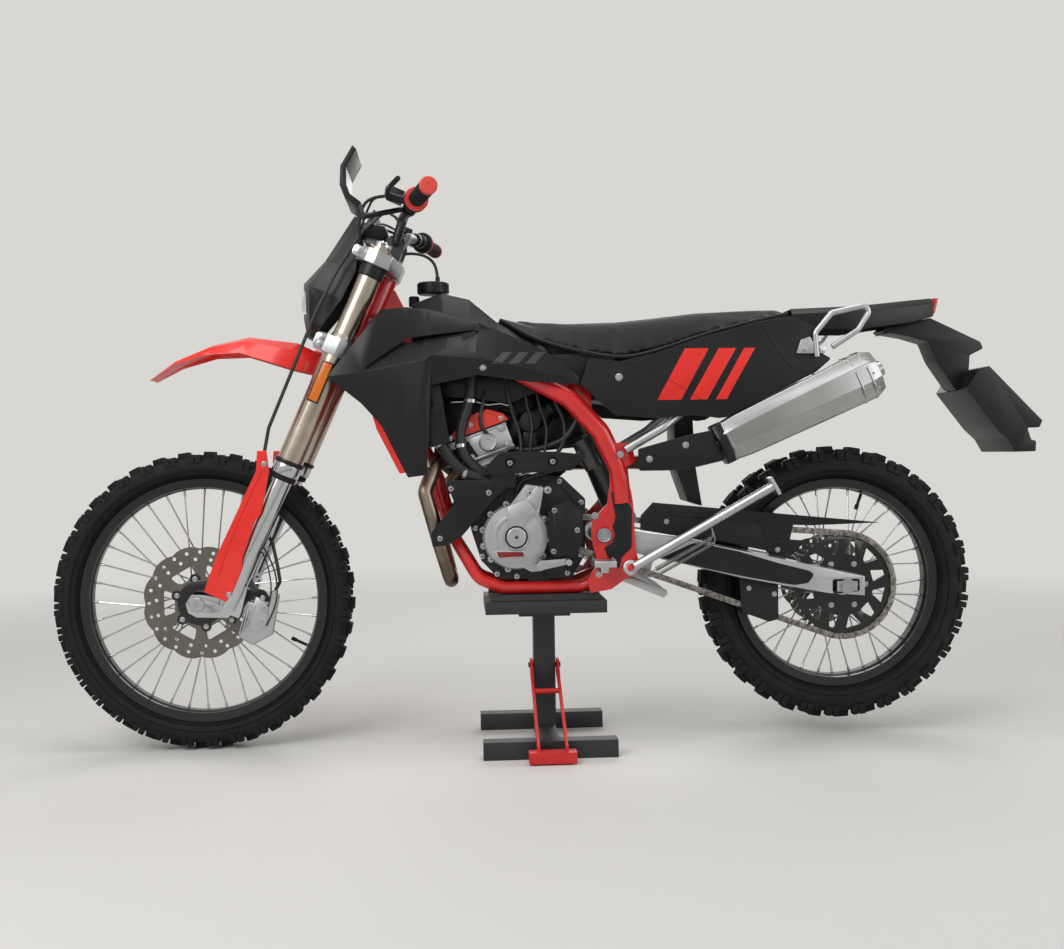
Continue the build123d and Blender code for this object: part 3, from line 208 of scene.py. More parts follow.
def applyModifier(obj, kind, **values):
    pick(obj)
    mod = obj.modifiers.new(kind.lower(), kind)
    for key, value in values.items():
        setattr(mod, key, value)
    bpy.ops.object.modifier_apply(modifier=mod.name)


def bevelEdges(obj, width, segments=2):
    applyModifier(obj, "BEVEL", width=width, segments=segments, limit_method="ANGLE", angle_limit=math.radians(35))


def plate(outline, yLow, yHigh, edge=0.0006):
    # A flat piece drawn in X and Z, thick in Y, with softened edges
    clearPick()
    bpy.ops.mesh.primitive_circle_add(vertices=len(outline), radius=0.1, fill_type="NGON", location=(0, 0, 0))
    obj = bpy.context.object
    for vertex, (x, z) in zip(obj.data.vertices, outline):
        vertex.co = (x, yLow, z)
    editAll()
    bpy.ops.mesh.extrude_region_move(TRANSFORM_OT_translate={"value": (0, yHigh - yLow, 0)})
    bpy.ops.mesh.select_all(action="SELECT")
    bpy.ops.mesh.normals_make_consistent(inside=False)
    bpy.ops.object.mode_set(mode="OBJECT")
    if edge:
        bevelEdges(obj, edge)
    return obj


def lathe(profile, steps=48):
    # A turned piece about Y from a closed line of radius and Y
    clearPick()
    bpy.ops.mesh.primitive_circle_add(vertices=len(profile), radius=0.1, fill_type="NOTHING", location=(0, 0, 0))
    obj = bpy.context.object
    for vertex, (radius, y) in zip(obj.data.vertices, profile):
        vertex.co = (radius, y, 0)
    editAll()
    bpy.ops.mesh.spin(steps=steps, angle=math.tau, center=(0, 0, 0), axis=(0, 1, 0))
    bpy.ops.mesh.select_all(action="SELECT")
    bpy.ops.mesh.remove_doubles(threshold=mergeGap)
    bpy.ops.mesh.delete_loose()
    bpy.ops.mesh.select_all(action="SELECT")
    bpy.ops.mesh.normals_make_consistent(inside=False)
    bpy.ops.object.mode_set(mode="OBJECT")
    return obj


def hose(points, radius, rounds=4, steps=10):
    # A round tube on one smooth curve through its control points
    curve = bpy.data.curves.new("run", "CURVE")
    curve.dimensions = "3D"
    spline = curve.splines.new("NURBS")
    spline.points.add(len(points) - 1)
    for point, place in zip(spline.points, points):
        point.co = (*place, 1)
    spline.order_u = min(3, len(points))
    spline.use_endpoint_u = True
    spline.resolution_u = steps
    curve.bevel_depth = radius
    curve.bevel_resolution = rounds
    curve.use_fill_caps = True
    obj = bpy.data.objects.new("run", curve)
    bpy.context.scene.collection.objects.link(obj)
    pick(obj)
    bpy.ops.object.convert(target="MESH")
    return bpy.context.object


def moved(obj, matrix):
    obj.data.transform(matrix)
    return obj


def turnOver(obj):
    # Mirrors a piece to the other side, with its faces turned back outwards
    obj.data.transform(Matrix.Scale(-1, 4, (0, 1, 0)))
    obj.data.flip_normals()


def copies(master, matrices):
    # The same mesh at many places, joined into one object
    made = []
    for matrix in matrices:
        twin = master.copy()
        twin.data = master.data.copy()
        twin.data.transform(matrix)
        bpy.context.scene.collection.objects.link(twin)
        made.append(twin)
    bpy.data.objects.remove(master)
    return together(made)


def together(parts):
    clearPick()
    for part in parts:
        part.select_set(True)
    bpy.context.view_layer.objects.active = parts[0]
    if len(parts) > 1:
        bpy.ops.object.join()
    return parts[0]


def settle(parts, name, body, slotName, finish=None, smooth=32):
    # Joins the parts into one finished piece, with the given finish or else its slot's finish, and sets it on its
    # body
    obj = together(parts) if isinstance(parts, list) else parts
    pick(obj)
    bpy.ops.object.transform_apply(location=True, rotation=True, scale=True)
    bpy.ops.object.shade_smooth_by_angle(angle=math.radians(smooth))
    obj.name = name
    obj.data.materials.clear()
    obj.data.materials.append(finish or slotLooks[slotName])
    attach(obj, body)


def turnY(angle):
    return Matrix.Rotation(angle, 4, "Y")


def aimed(place, direction):
    # Puts a piece that stands on +Z at a place, pointing along a direction
    return Matrix.Translation(place) @ Vector(direction).to_track_quat("Z", "Y").to_matrix().to_4x4()


def turned(profile, steps, x, z):
    # A turned piece about a line along Y
    return moved(lathe(profile, steps), Matrix.Translation((x, 0, z)))


def standing(obj, matrix):
    # A turned piece set up on +Z and then placed
    obj.data.transform(Matrix.Rotation(math.pi / 2, 4, "X"))
    return moved(obj, matrix)


def sidePlate(outline, near, far, side, edge=0.0006):
    # A plate on one side, between two distances from the middle
    return plate(outline, *sorted((side * near, side * far)), edge)


def onBothSides(outline, near, far, edge=0.0006):
    return [sidePlate(outline, near, far, side, edge) for side in (1, -1)]


def roundSpots(centre, radius, angles):
    # Places in X and Z on a circle
    return [(centre[0] + radius * math.cos(math.radians(angle)), centre[1] + radius * math.sin(math.radians(angle)))
        for angle in angles]


rake = math.radians(24.1)
steerPlace = (0.73176, 0, 0.30996)
steerFrame = Matrix.Translation(steerPlace) @ Matrix.Rotation(-rake, 4, "Y")
frontHub = (0.813, 0, 0.3463)
rearHub = (-0.677, 0, 0.359)


# tyres

tyreSizes = {
    "front": {"place": frontHub, "body": "front_wheel", "node": "front_tyre", "count": 36, "tip": 0.3461,
        "valley": 0.333, "centre": (0.0016, 0.015), "shoulderTip": 0.34, "shoulderValley": 0.318, "shoulder": (0.0205,
        0.0415), "half": [(0.2674, 0.0183), (0.28, 0.0184), (0.285, 0.02), (0.2915, 0.033), (0.299, 0.0385),
        (0.308, 0.0408), (0.317, 0.0402), (0.324, 0.037), (0.33, 0.029), (0.3335, 0.016)]},
    "rear": {"place": rearHub, "body": "rear_wheel", "node": "rear_tyre", "count": 30, "tip": 0.3258, "valley": 0.31,
        "centre": (0.002, 0.0208), "shoulderTip": 0.3188, "shoulderValley": 0.293, "shoulder": (0.028, 0.0562),
        "half": [(0.2325, 0.0237), (0.246, 0.0238), (0.251, 0.026), (0.256, 0.043), (0.264, 0.052), (0.275, 0.0556),
        (0.286, 0.055), (0.296, 0.051), (0.305, 0.042), (0.3105, 0.023)]},
}


# A shoulder knob is split in two: start and reach along it, setback in Y and drop of its top
knobSizes = {"share": 0.52, "centreFill": 0.94, "shoulderFill": 0.92, "taper": 0.86, "edge": 0.0011, "root": 0.006,
    "lean": 0.003, "split": ((0.0, 0.5, 0.0, 0.0005), (0.52, 0.48, 0.12, 0.0017))}


def knob(low, high, yLow, yHigh, length, lean):
    # One tread block with a narrower top and softened edges, standing on +Z about the hub
    clearPick()
    bpy.ops.mesh.primitive_cube_add(size=1, location=(0, 0, 0))
    obj = bpy.context.object
    for vertex in obj.data.vertices:
        top = vertex.co.z > 0
        shrink = knobSizes["taper"] if top else 1.0
        y = yHigh if vertex.co.y > 0 else yLow
        middle = (yLow + yHigh) / 2
        vertex.co = (vertex.co.x * length * shrink, middle + (y - middle) * shrink + (lean if top else 0), high
            if top else low)
    editAll()
    bpy.ops.mesh.bevel(offset=knobSizes["edge"], segments=2, affect="EDGES")
    bpy.ops.object.mode_set(mode="OBJECT")
    return obj


def makeTyre(sizes):
    half = sizes["half"]
    profile = half + [(radius, -y) for radius, y in reversed(half)]
    parts = [lathe(profile, 120)]
    pitch = math.tau / sizes["count"]
    share = knobSizes["share"] * pitch
    inner, outer = sizes["centre"]
    for side in (1, -1):
        yLow, yHigh = sorted((side * inner, side * outer))
        master = knob(sizes["valley"] - knobSizes["root"], sizes["tip"] - 0.0004, yLow, yHigh,
            share * sizes["tip"] * knobSizes["centreFill"], 0)
        parts.append(copies(master, [turnY(-(index * pitch + share / 2) + math.pi / 2)
            for index in range(sizes["count"])]))
        inside, edge = sizes["shoulder"]
        for first, reach, setback, drop in knobSizes["split"]:
            yNear = inside + (edge - inside) * setback
            yLow, yHigh = sorted((side * yNear, side * edge))
            master = knob(sizes["shoulderValley"], sizes["shoulderTip"] - drop, yLow, yHigh,
                share * reach * sizes["shoulderTip"] * knobSizes["shoulderFill"], -side * knobSizes["lean"])
            shift = 0.5 * pitch + share * (first + reach / 2)
            parts.append(copies(master, [turnY(-(index * pitch + shift) + math.pi / 2)
                for index in range(sizes["count"])]))
    # Two raised lines round each sidewall
    beadRadius = half[0][0]
    for side in (1, -1):
        for radius, y in ((beadRadius + 0.0225, half[3][1] - 0.0012), (beadRadius + 0.0345, half[4][1] + 0.0022)):
            parts.append(lathe([(radius - 0.0016, side * (y - 0.004)), (radius, side * (y + 0.0012)),
                (radius + 0.0016, side * (y - 0.003))], 120))
    return moved(together(parts), Matrix.Translation(sizes["place"]))


for sizes in tyreSizes.values():
    obj = makeTyre(sizes)
    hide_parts(sizes["node"])
    settle(obj, sizes["node"].replace("_", "") + "Knobbly", sizes["body"], "tyre", smooth=40)
print("stage: tyres")


# spoke nipples and valves

wheelTrim = {
    "front": {"place": frontHub, "body": "front_wheel", "rim": 0.2583, "rimY": 0.004, "hubRadius": 0.027,
        "hubY": 0.032, "valve": -116.0},
    "rear": {"place": rearHub, "body": "rear_wheel", "rim": 0.2225, "rimY": 0.005, "hubRadius": 0.036, "hubY": 0.0395,
        "valve": -19.2},
}


nippleSizes = {"count": 36, "radius": 0.0031, "length": 0.013, "edge": 0.0006, "cross": 52, "seat": 0.0062,
    "stagger": 0.0015}


def nipples(trim):
    clearPick()
    bpy.ops.mesh.primitive_cylinder_add(vertices=8, radius=nippleSizes["radius"], depth=nippleSizes["length"],
        location=(0, 0, 0))
    master = bpy.context.object
    bevelEdges(master, nippleSizes["edge"], 1)
    places = []
    for index in range(nippleSizes["count"]):
        side = 1 if index % 2 == 0 else -1
        turn = 1 if (index // 2) % 2 == 0 else -1
        angle = math.tau * index / nippleSizes["count"]
        hubAngle = angle - turn * math.radians(nippleSizes["cross"])
        rim = Vector((trim["rim"] * math.cos(angle), side * trim["rimY"], trim["rim"] * math.sin(angle)))
        hub = Vector((trim["hubRadius"] * math.cos(hubAngle), side * (trim["hubY"] + turn * nippleSizes["stagger"]),
            trim["hubRadius"] * math.sin(hubAngle)))
        way = (hub - rim).normalized()
        places.append(Matrix.Translation(trim["place"]) @ aimed(rim + way * nippleSizes["seat"], way))
    return copies(master, places)


for wheel, trim in wheelTrim.items():
    settle(nipples(trim), wheel + "Nipples", trim["body"], "spoke_steel")
    valve = hose([(0, 0, trim["rim"] - 0.001), (0, 0, trim["rim"] - 0.034)], 0.0035, 3)
    cap = standing(lathe([(0.0, -0.007), (0.0048, -0.006), (0.0048, 0.006), (0.0, 0.007)], 12),
        Matrix.Translation((0, 0, trim["rim"] - 0.034)))
    stem = moved(together([valve, cap]), Matrix.Translation(trim["place"]) @ turnY(math.radians(trim["valve"])))
    settle(stem, wheel + "Valve", trim["body"], "rubber_black")
print("stage: wheels")


# chain

chainSizes = {"pitch": 0.015875, "rearTeeth": 48, "frontTeeth": 13, "y": 0.078, "frontPlace": (-0.032, 0.498),
    "rollerRadius": 0.0051, "plateHalf": 0.007, "innerY": 0.0046, "outerY": 0.0066, "plate": 0.0015,
    "pinRadius": 0.0025, "pinY": 0.0084, "rollerY": 0.0044, "endTurn": 75, "endSquash": 0.92}


def chainPath(count):
    # Places in X and Z round both sprockets at equal steps, and the whole length
    rear, front = [chainSizes["pitch"] / (2 * math.sin(math.pi / chainSizes[key])) for key in ("rearTeeth",
        "frontTeeth")]
    fx, fz = chainSizes["frontPlace"]
    rx, rz = rearHub[0], rearHub[2]
    run = math.hypot(fx - rx, fz - rz)
    slope = math.atan2(fz - rz, fx - rx)
    spread = math.acos((rear - front) / run)
    straight = math.sqrt(run ** 2 - (rear - front) ** 2)
    rearArc = rear * (math.tau - 2 * spread)
    total = 2 * straight + rearArc + front * 2 * spread

    def onRear(angle):
        return rx + rear * math.cos(angle), rz + rear * math.sin(angle)

    def onFront(angle):
        return fx + front * math.cos(angle), fz + front * math.sin(angle)

    def between(start, end, share):
        return tuple(a + (b - a) * share for a, b in zip(start, end))

    spots = []
    for index in range(count):
        along = index * total / count
        if along < straight:
            spots.append(between(onFront(slope + spread), onRear(slope + spread), along / straight))
        elif along < straight + rearArc:
            spots.append(onRear(slope + spread + (along - straight) / rear))
        elif along < 2 * straight + rearArc:
            spots.append(between(onRear(slope - spread), onFront(slope - spread),
                (along - straight - rearArc) / straight))
        else:
            spots.append(onFront(slope - spread + (along - 2 * straight - rearArc) / front))
    return spots, total


def makeChain():
    total = chainPath(4)[1]
    count = 2 * round(total / chainSizes["pitch"] / 2)
    spots = chainPath(count)[0]
    half = chainSizes["pitch"] / 2
    outline = []
    for end in (-1, 1):
        for step in range(7):
            angle = math.radians(chainSizes["endTurn"] * (step / 3 - 1))
            outline.append((end * (half + chainSizes["plateHalf"] * math.cos(angle) * chainSizes["endSquash"]),
                end * chainSizes["plateHalf"] * math.sin(angle)))
    rollers = []
    inside = []
    outside = []
    for index, (x, z) in enumerate(spots):
        nextX, nextZ = spots[(index + 1) % count]
        angle = math.atan2(nextZ - z, nextX - x)
        matrix = Matrix.Translation(((x + nextX) / 2, chainSizes["y"], (z + nextZ) / 2)) @ turnY(-angle)
        (inside if index % 2 == 0 else outside).append(matrix)
        rollers.append(Matrix.Translation((x, chainSizes["y"], z)))
    parts = []
    for places, y in ((inside, chainSizes["innerY"]), (outside, chainSizes["outerY"])):
        for side in (1, -1):
            low, high = sorted((side * y, side * (y + chainSizes["plate"])))
            parts.append(copies(plate(outline, low, high, 0.0003), places))
    pinHalf = [(0, chainSizes["pinY"]), (chainSizes["pinRadius"], chainSizes["pinY"]), (chainSizes["pinRadius"],
        chainSizes["innerY"]), (chainSizes["rollerRadius"], chainSizes["rollerY"])]
    pin = lathe([(radius, -y) for radius, y in pinHalf] + pinHalf[::-1], 10)
    parts.append(copies(pin, rollers))
    return together(parts)


driveChain = makeChain()
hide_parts("chain")
settle(driveChain, "driveChain", "root", "chain_steel")
print("stage: chain")


# seat, one foam pad puffed by cloth pressure

seatSizes = {"voxel": 0.0055, "pressure": 4.0, "cap": 0.007, "frames": 20, "shrink": 0.004, "smoothing": 14,
    "noseStart": 0.03, "noseReach": 0.05, "noseHold": 0.9}


def makeSeat():
    pad = looseCopy("seat")
    editAll()
    bpy.ops.mesh.remove_doubles(threshold=0.00005)
    bpy.ops.mesh.normals_make_consistent(inside=False)
    bpy.ops.transform.shrink_fatten(value=-seatSizes["shrink"])
    bpy.ops.object.mode_set(mode="OBJECT")
    applyModifier(pad, "REMESH", mode="VOXEL", voxel_size=seatSizes["voxel"])
    rest = [vertex.co.copy() for vertex in pad.data.vertices]
    pick(pad)
    cloth = pad.modifiers.new("foam", "CLOTH")
    cloth.settings.use_pressure = True
    cloth.settings.uniform_pressure_force = seatSizes["pressure"]
    cloth.settings.effector_weights.gravity = 0
    cloth.settings.quality = 5
    cloth.point_cache.frame_start = 1
    cloth.point_cache.frame_end = seatSizes["frames"]
    for number in range(1, seatSizes["frames"] + 1):
        bpy.context.scene.frame_set(number)
    bpy.ops.object.modifier_apply(modifier="foam")
    for vertex, place in zip(pad.data.vertices, rest):
        step = vertex.co - place
        if step.length > seatSizes["cap"]:
            vertex.co = place + step.normalized() * seatSizes["cap"]
    bpy.context.scene.frame_set(1)
    puffed = [vertex.co.copy() for vertex in pad.data.vertices]
    applyModifier(pad, "SMOOTH", factor=0.5, iterations=seatSizes["smoothing"])
    for vertex, place in zip(pad.data.vertices, puffed):
        # The thin nose keeps its reach toward the tank
        hold = (place.x - seatSizes["noseStart"]) / seatSizes["noseReach"]
        vertex.co = vertex.co.lerp(place, min(max(hold, 0.0), seatSizes["noseHold"]))
    applyModifier(pad, "SUBSURF", levels=1, render_levels=1)
    return pad


seatPad = makeSeat()
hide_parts("seat")
settle(seatPad, "seatPad", "root", "seat_cover", smooth=60)
print("stage: seat")


# bodywork, frame and engine castings with softened edges

# Width and segments of each node's edges
softEdges = {
    "main_frame": (0.0015, 2), "engine_covers": (0.0025, 3), "engine_cases": (0.003, 3), "cylinder": (0.001, 2),
    "valve_cover": (0.004, 3), "sprocket_guard": (0.003, 3), "engine_guards": (0.0022, 3),
    "exhaust_shield": (0.003, 3), "muffler": (0.005, 3), "fuel_tank": (0.01, 4), "fuel_cap": (0.003, 3),
    "shrouds": (0.0016, 2), "side_panels": (0.002, 3), "radiators": (0.002, 2), "radiator_guards": (0.0015, 2),
    "airbox": (0.004, 3), "rear_fender": (0.003, 3), "tail_lamp": (0.002, 3), "plate_holder": (0.002, 3),
    "swingarm": (0.003, 3), "chain_guards": (0.0012, 2), "linkage": (0.0015, 2), "footpegs": (0.0012, 2),
    "foot_levers": (0.0015, 3), "rear_caliper": (0.002, 2), "throttle_body": (0.0012, 2), "lift_stand": (0.002, 3),
    "stand_lever": (0.0015, 3), "triple_clamps": (0.0022, 3), "fork_legs": (0.002, 3), "hand_controls": (0.0012, 2),
    "handguards": (0.0018, 3), "headlamp_mask": (0.0022, 3), "headlamp_lens": (0.002, 3), "front_fender": (0.0016, 2),
    "fork_guards": (0.0016, 3), "front_caliper": (0.003, 3), "side_stand": (0.0012, 2), "rear_sprocket": (0.0006, 1),
}

ductFloor = {"x": 0.16, "outside": 0.1, "inward": 0.009}


def softened(nodeName, width, segments):
    obj = looseCopy(nodeName)
    editAll()
    bpy.ops.mesh.remove_doubles(threshold=mergeGap)
    bpy.ops.mesh.dissolve_limited(angle_limit=math.radians(1.5))
    bpy.ops.object.mode_set(mode="OBJECT")
    if nodeName == "shrouds":
        # The duct floor ends under the skin
        for vertex in obj.data.vertices:
            if abs(vertex.co.x - ductFloor["x"]) < 0.0012 and abs(vertex.co.y) > ductFloor["outside"]:
                vertex.co.y -= math.copysign(ductFloor["inward"], vertex.co.y)
    applyModifier(obj, "BEVEL", width=width, segments=segments, limit_method="ANGLE", angle_limit=math.radians(28),
        use_clamp_overlap=True, harden_normals=False)
    return obj


for nodeName, (width, segments) in softEdges.items():
    obj = softened(nodeName, width, segments)
    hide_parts(nodeName)
    first, *others = nodeName.split("_")
    settle(obj, first + "".join(word.capitalize() for word in others) + "Soft", bodyOf[nodeName], slotOf[nodeName],
        glossPlastic if nodeName == "exhaust_shield" else None, 38)
print("stage: softened castings and bodywork")


# small shared pieces

def discOut(place, radius, height, side=1, steps=24, edge=0.0008):
    # A turned washer or cap that stands out of a side face, toward +Y or -Y
    profile = [(0.0, 0), (radius, 0), (radius, height - edge), (radius - edge, height), (0.0, height)]
    return moved(lathe([(r, y * side) for r, y in profile], steps), Matrix.Translation(place))


# Domed flange bolt with a deep socket, as shares of its radius and height
boltProfile = [(0, 0.25), (0.42, 0.25), (0.46, 1), (0.84, 0.96), (1, 0.66), (1, 0.24), (1.25, 0.18), (1.25, 0),
    (0, 0)]


def boltHead(place, radius, height, side=1):
    dome = lathe([(radius * across, height * up) for across, up in boltProfile], 16)
    if side < 0:
        turnOver(dome)
    return moved(dome, Matrix.Translation(place))


def boltsAt(places, radius, height):
    return together([boltHead((x, y, z), radius, height, 1 if y > 0 else -1) for x, y, z in places])


def inSteering(obj):
    return moved(obj, steerFrame)


def tilted(forward, y, height):
    point = steerFrame @ Vector((forward, y, height))
    return point.x, point.y, point.z


# fork and clamps, in the steering frame with X forward of the axis and Z along it

forkSizes = {"legY": 0.097, "offset": 0.026, "reflector": (0.02, 0.041, 0.526, 0.617)}
legRings = {
    "forkTopCollars": ("black_plastic", [(0.0262, 0.832), (0.0292, 0.834), (0.0296, 0.838), (0.0296, 0.858),
        (0.029, 0.861), (0.0262, 0.8615)]),
    "forkGuardRings": ("black_plastic", [(0.0302, 0.3715), (0.0336, 0.372), (0.0344, 0.3735), (0.0344, 0.3795),
        (0.0336, 0.381), (0.0302, 0.3815)]),
    "forkSleeves": ("fork_chrome", [(0.03, 0.346), (0.0318, 0.3465), (0.0324, 0.348), (0.0324, 0.369),
        (0.0318, 0.3708), (0.03, 0.3712)]),
    "forkSeals": ("rubber_black", [(0.0243, 0.333), (0.0282, 0.334), (0.029, 0.337), (0.029, 0.344), (0.0284, 0.3465),
        (0.0243, 0.3465)]),
    "forkCaps": ("fork_chrome", [(0.0, 0.909), (0.0205, 0.909), (0.0205, 0.914), (0.019, 0.9165), (0.0095, 0.9165),
        (0.009, 0.9215), (0.0, 0.9215)]),
}
legFrames = [steerFrame @ Matrix.Translation((forkSizes["offset"], side * forkSizes["legY"], 0)) for side in (1, -1)]
for name, (slotName, profile) in legRings.items():
    settle([standing(lathe(profile), legFrame) for legFrame in legFrames], name, "steering", slotName)

earSizes = {"inner": 0.098, "outer": 0.116, "clamps": ((0.641, 0.675), (0.865, 0.891)), "boltForward": 0.068}
ears = []
earBolts = []
for low, high in earSizes["clamps"]:
    for side in (1, -1):
        ears.append(inSteering(sidePlate([(0.05, low), (0.08, low), (0.084, low + 0.006), (0.084, high - 0.006),
            (0.08, high), (0.05, high)], earSizes["inner"], earSizes["outer"], side, 0.0018)))
        # Two bolts on the tall lower clamp, one on the upper
        for height in (low + 0.009, high - 0.009) if low < 0.7 else ((low + high) / 2,):
            earBolts.append(moved(boltHead((0, 0, 0), 0.0052, 0.0052, side), steerFrame
                @ Matrix.Translation((earSizes["boltForward"], side * earSizes["outer"], height))))
settle(ears, "clampEars", "steering", "alloy")
settle(earBolts, "clampBolts", "steering", "spoke_steel")


def reflectorPlates(grow, near, far, edge):
    x0, x1, z0, z1 = forkSizes["reflector"]
    corners = [(x0 - grow, z0 - grow), (x1 + grow, z0 - grow), (x1 + grow, z1 + grow), (x0 - grow, z1 + grow)]
    return [inSteering(piece) for piece in onBothSides(corners, near, far, edge)]


settle(reflectorPlates(0.003, 0.1262, 0.1305, 0.0009), "reflectorBacks", "steering", "black_plastic")
settle(reflectorPlates(0, 0.1305, 0.1335, 0.0012), "reflectors", "steering", "lamp_red", finish=amberLens)

# grips with ribs, a coral flange ring and a coral end cap

gripSizes = {"inner": (-0.02, 0.272, 1.0082), "outer": (-0.047, 0.408, 1.0216), "ribs": 15}


def alongGrip(profile, side, steps=32):
    inner, outer = [Vector((x, side * y, z)) for x, y, z in (gripSizes["inner"], gripSizes["outer"])]
    return standing(lathe(profile, steps), steerFrame @ aimed(inner, outer - inner))


gripLength = (Vector(gripSizes["outer"]) - Vector(gripSizes["inner"])).length
caps = []
flanges = []
ribs = []
for side in (1, -1):
    caps.append(alongGrip([(0.0, gripLength + 0.0002), (0.005, gripLength + 0.0002), (0.0058, gripLength + 0.0012),
        (0.016, gripLength + 0.0012), (0.0184, gripLength - 0.0006), (0.0188, gripLength - 0.003),
        (0.0188, gripLength - 0.009), (0.0178, gripLength - 0.0096), (0.0, gripLength - 0.003)], side))
    flanges.append(alongGrip([(0.0175, 0.0015), (0.0245, 0.0012), (0.0262, 0.0028), (0.0262, 0.006), (0.0245, 0.0078),
        (0.019, 0.0084), (0.018, 0.012), (0.0175, 0.012)], side))
    for index in range(gripSizes["ribs"]):
        at = 0.022 + index * (gripLength - 0.036) / (gripSizes["ribs"] - 1)
        ribs.append(alongGrip([(0.0166, at - 0.0026), (0.018, at - 0.0016), (0.018, at + 0.0016),
            (0.0166, at + 0.0026)], side, 24))
settle(caps, "gripCaps", "steering", "rubber_black", finish=coralRubber)
settle(flanges, "gripFlanges", "steering", "rubber_black", finish=coralRubber)
settle(ribs, "gripRibs", "steering", "rubber_black")

# control cables from the bar down behind the mask

cableRuns = [
    (0.0036, [(0.044, 0.236, 0.996), (0.088, 0.19, 0.985), (0.098, 0.13, 0.95), (0.082, 0.085, 0.905),
        (0.06, 0.052, 0.85), (0.046, 0.046, 0.78)]),
    (0.0028, [(0.03, 0.225, 1.004), (0.078, 0.17, 1.0), (0.09, 0.105, 0.97), (0.092, 0.06, 0.925),
        (0.07, 0.034, 0.86), (0.05, 0.034, 0.78)]),
    (0.0036, [(0.044, -0.236, 0.996), (0.092, -0.18, 0.99), (0.104, -0.11, 0.955), (0.09, -0.06, 0.905),
        (0.062, -0.045, 0.85), (0.048, -0.04, 0.78)]),
    (0.003, [(0.014, -0.23, 1.0), (0.07, -0.16, 1.0), (0.088, -0.08, 0.975), (0.096, -0.02, 0.93), (0.076, -0.012,
        0.865), (0.052, -0.014, 0.78)]),
]
settle([hose([tilted(*point) for point in run], radius, 3, 8) for radius, run in cableRuns], "barCables", "steering",
    "hose_black")

# instrument pod between the clamps and the mask, and the bar pad

settle(inSteering(plate([(0.036, 0.93), (0.086, 0.922), (0.098, 0.934), (0.092, 0.952), (0.046, 0.962),
    (0.034, 0.952)], -0.052, 0.052, 0.004)), "instrumentPod", "steering", "black_plastic")
settle(inSteering(plate([(-0.004, 0.94), (0.014, 0.94), (0.016, 0.96), (-0.006, 0.96)], -0.066, 0.066, 0.004)),
    "barPad", "steering", "black_plastic")

# fuel cap ribs, vent hose and tank mount

capSizes = {"x": 0.273, "low": 1.0575, "high": 1.0795, "radius": 0.0362, "ribs": 28}
ribMaster = plate([(-0.0013, 0), (0.0013, 0), (0.0013, capSizes["high"] - capSizes["low"]),
    (-0.0013, capSizes["high"] - capSizes["low"])], -0.0012, 0.0012, 0)
capTop = Matrix.Translation((capSizes["x"], 0, capSizes["low"]))
ribTurns = [Matrix.Rotation(index * math.tau / capSizes["ribs"], 4, "Z") for index in range(capSizes["ribs"])]
settle(copies(ribMaster, [capTop @ turn @ Matrix.Translation((0, capSizes["radius"], 0)) for turn in ribTurns]),
    "fuelCapRibs", "root", "black_plastic")
ventPoints = [(0.262, 0, 1.082), (0.262, 0, 1.1), (0.268, 0, 1.128), (0.288, 0, 1.146), (0.318, 0, 1.152),
    (0.345, 0, 1.15), (0.3595, 0, 1.146), (0.3618, 0, 1.137)]
vent = hose(ventPoints, 0.0036, 4, 8)
nipple = standing(lathe([(0.0, 0), (0.0085, 0), (0.0085, 0.004), (0.0055, 0.006), (0.0055, 0.016), (0.0, 0.016)], 20),
    Matrix.Translation((0.262, 0, 1.08)))
settle([vent, nipple], "ventHose", "root", "hose_black")
mount = standing(lathe([(0.0, 0), (0.012, 0), (0.0125, 0.004), (0.0125, 0.02), (0.0105, 0.024), (0.0, 0.024)], 24),
    Matrix.Translation((0.318, 0, 1.026)))
settle(mount, "tankMount", "root", "rubber_black")
print("stage: front end")


# engine, left side

crank = (0.09, 0.486)


def sectorPlate(centre, inner, outer, first, last, yLow, yHigh, edge=0.0006, steps=24):
    outward = roundSpots(centre, outer, [first + (last - first) * k / steps for k in range(steps + 1)])
    back = roundSpots(centre, inner, [last + (first - last) * k / steps for k in range(steps + 1)])
    return plate(outward + back, yLow, yHigh, edge)


settle(turned([(0.06, 0.066), (0.0765, 0.066), (0.0775, 0.068), (0.0775, 0.078), (0.076, 0.08), (0.07, 0.0805),
    (0.06, 0.0805)], 64, *crank), "coverFlange", "root", "case_alloy", finish=greyCast)
bossSpots = roundSpots(crank, 0.0775, (12, 42, 74, 150, 186, 216, 246, 284, 318, 344))
settle([discOut((x, 0.066, z), 0.0085, 0.015, 1, 18) for x, z in bossSpots], "coverBosses", "root", "case_alloy",
    finish=greyCast)
capSpots = ((0.0578, 0.5871), (0.0158, 0.5926), (0.03, 0.417))
facePlates = [
    ([(0.1102, 0.5555), (0.0644, 0.5731), (0.0445, 0.544), (0.0731, 0.5099), (0.1091, 0.5087)], 0.107, 0.1112, 0.001),
    ([(0.0985, 0.556), (0.07, 0.566), (0.042, 0.602), (0.027, 0.598), (0.04, 0.55)], 0.0955, 0.101, 0.0014),
    ([(0.1496, 0.4563), (0.0681, 0.4555), (0.0606, 0.44), (0.133, 0.4365)], 0.107, 0.1108, 0.0009),
]
faceTurns = [
    ([(0.0, 0.1155), (0.0045, 0.1155), (0.0052, 0.1165), (0.02, 0.1165), (0.0222, 0.115), (0.0226, 0.1115),
        (0.0, 0.1115)], 40),
    ([(0.0262, 0.1075), (0.0262, 0.113), (0.0272, 0.1138), (0.029, 0.1138), (0.0302, 0.112), (0.0302, 0.1075)], 48),
]
faceParts = [sectorPlate(crank, 0.0445, 0.0535, -28, 96, 0.1075, 0.1102, 0.0008)]
faceParts += [plate(*row) for row in facePlates]
faceParts += [turned(profile, steps, *crank) for profile, steps in faceTurns]
faceParts += [discOut((x, 0.09, z), 0.0088, 0.0085) for x, z in capSpots]
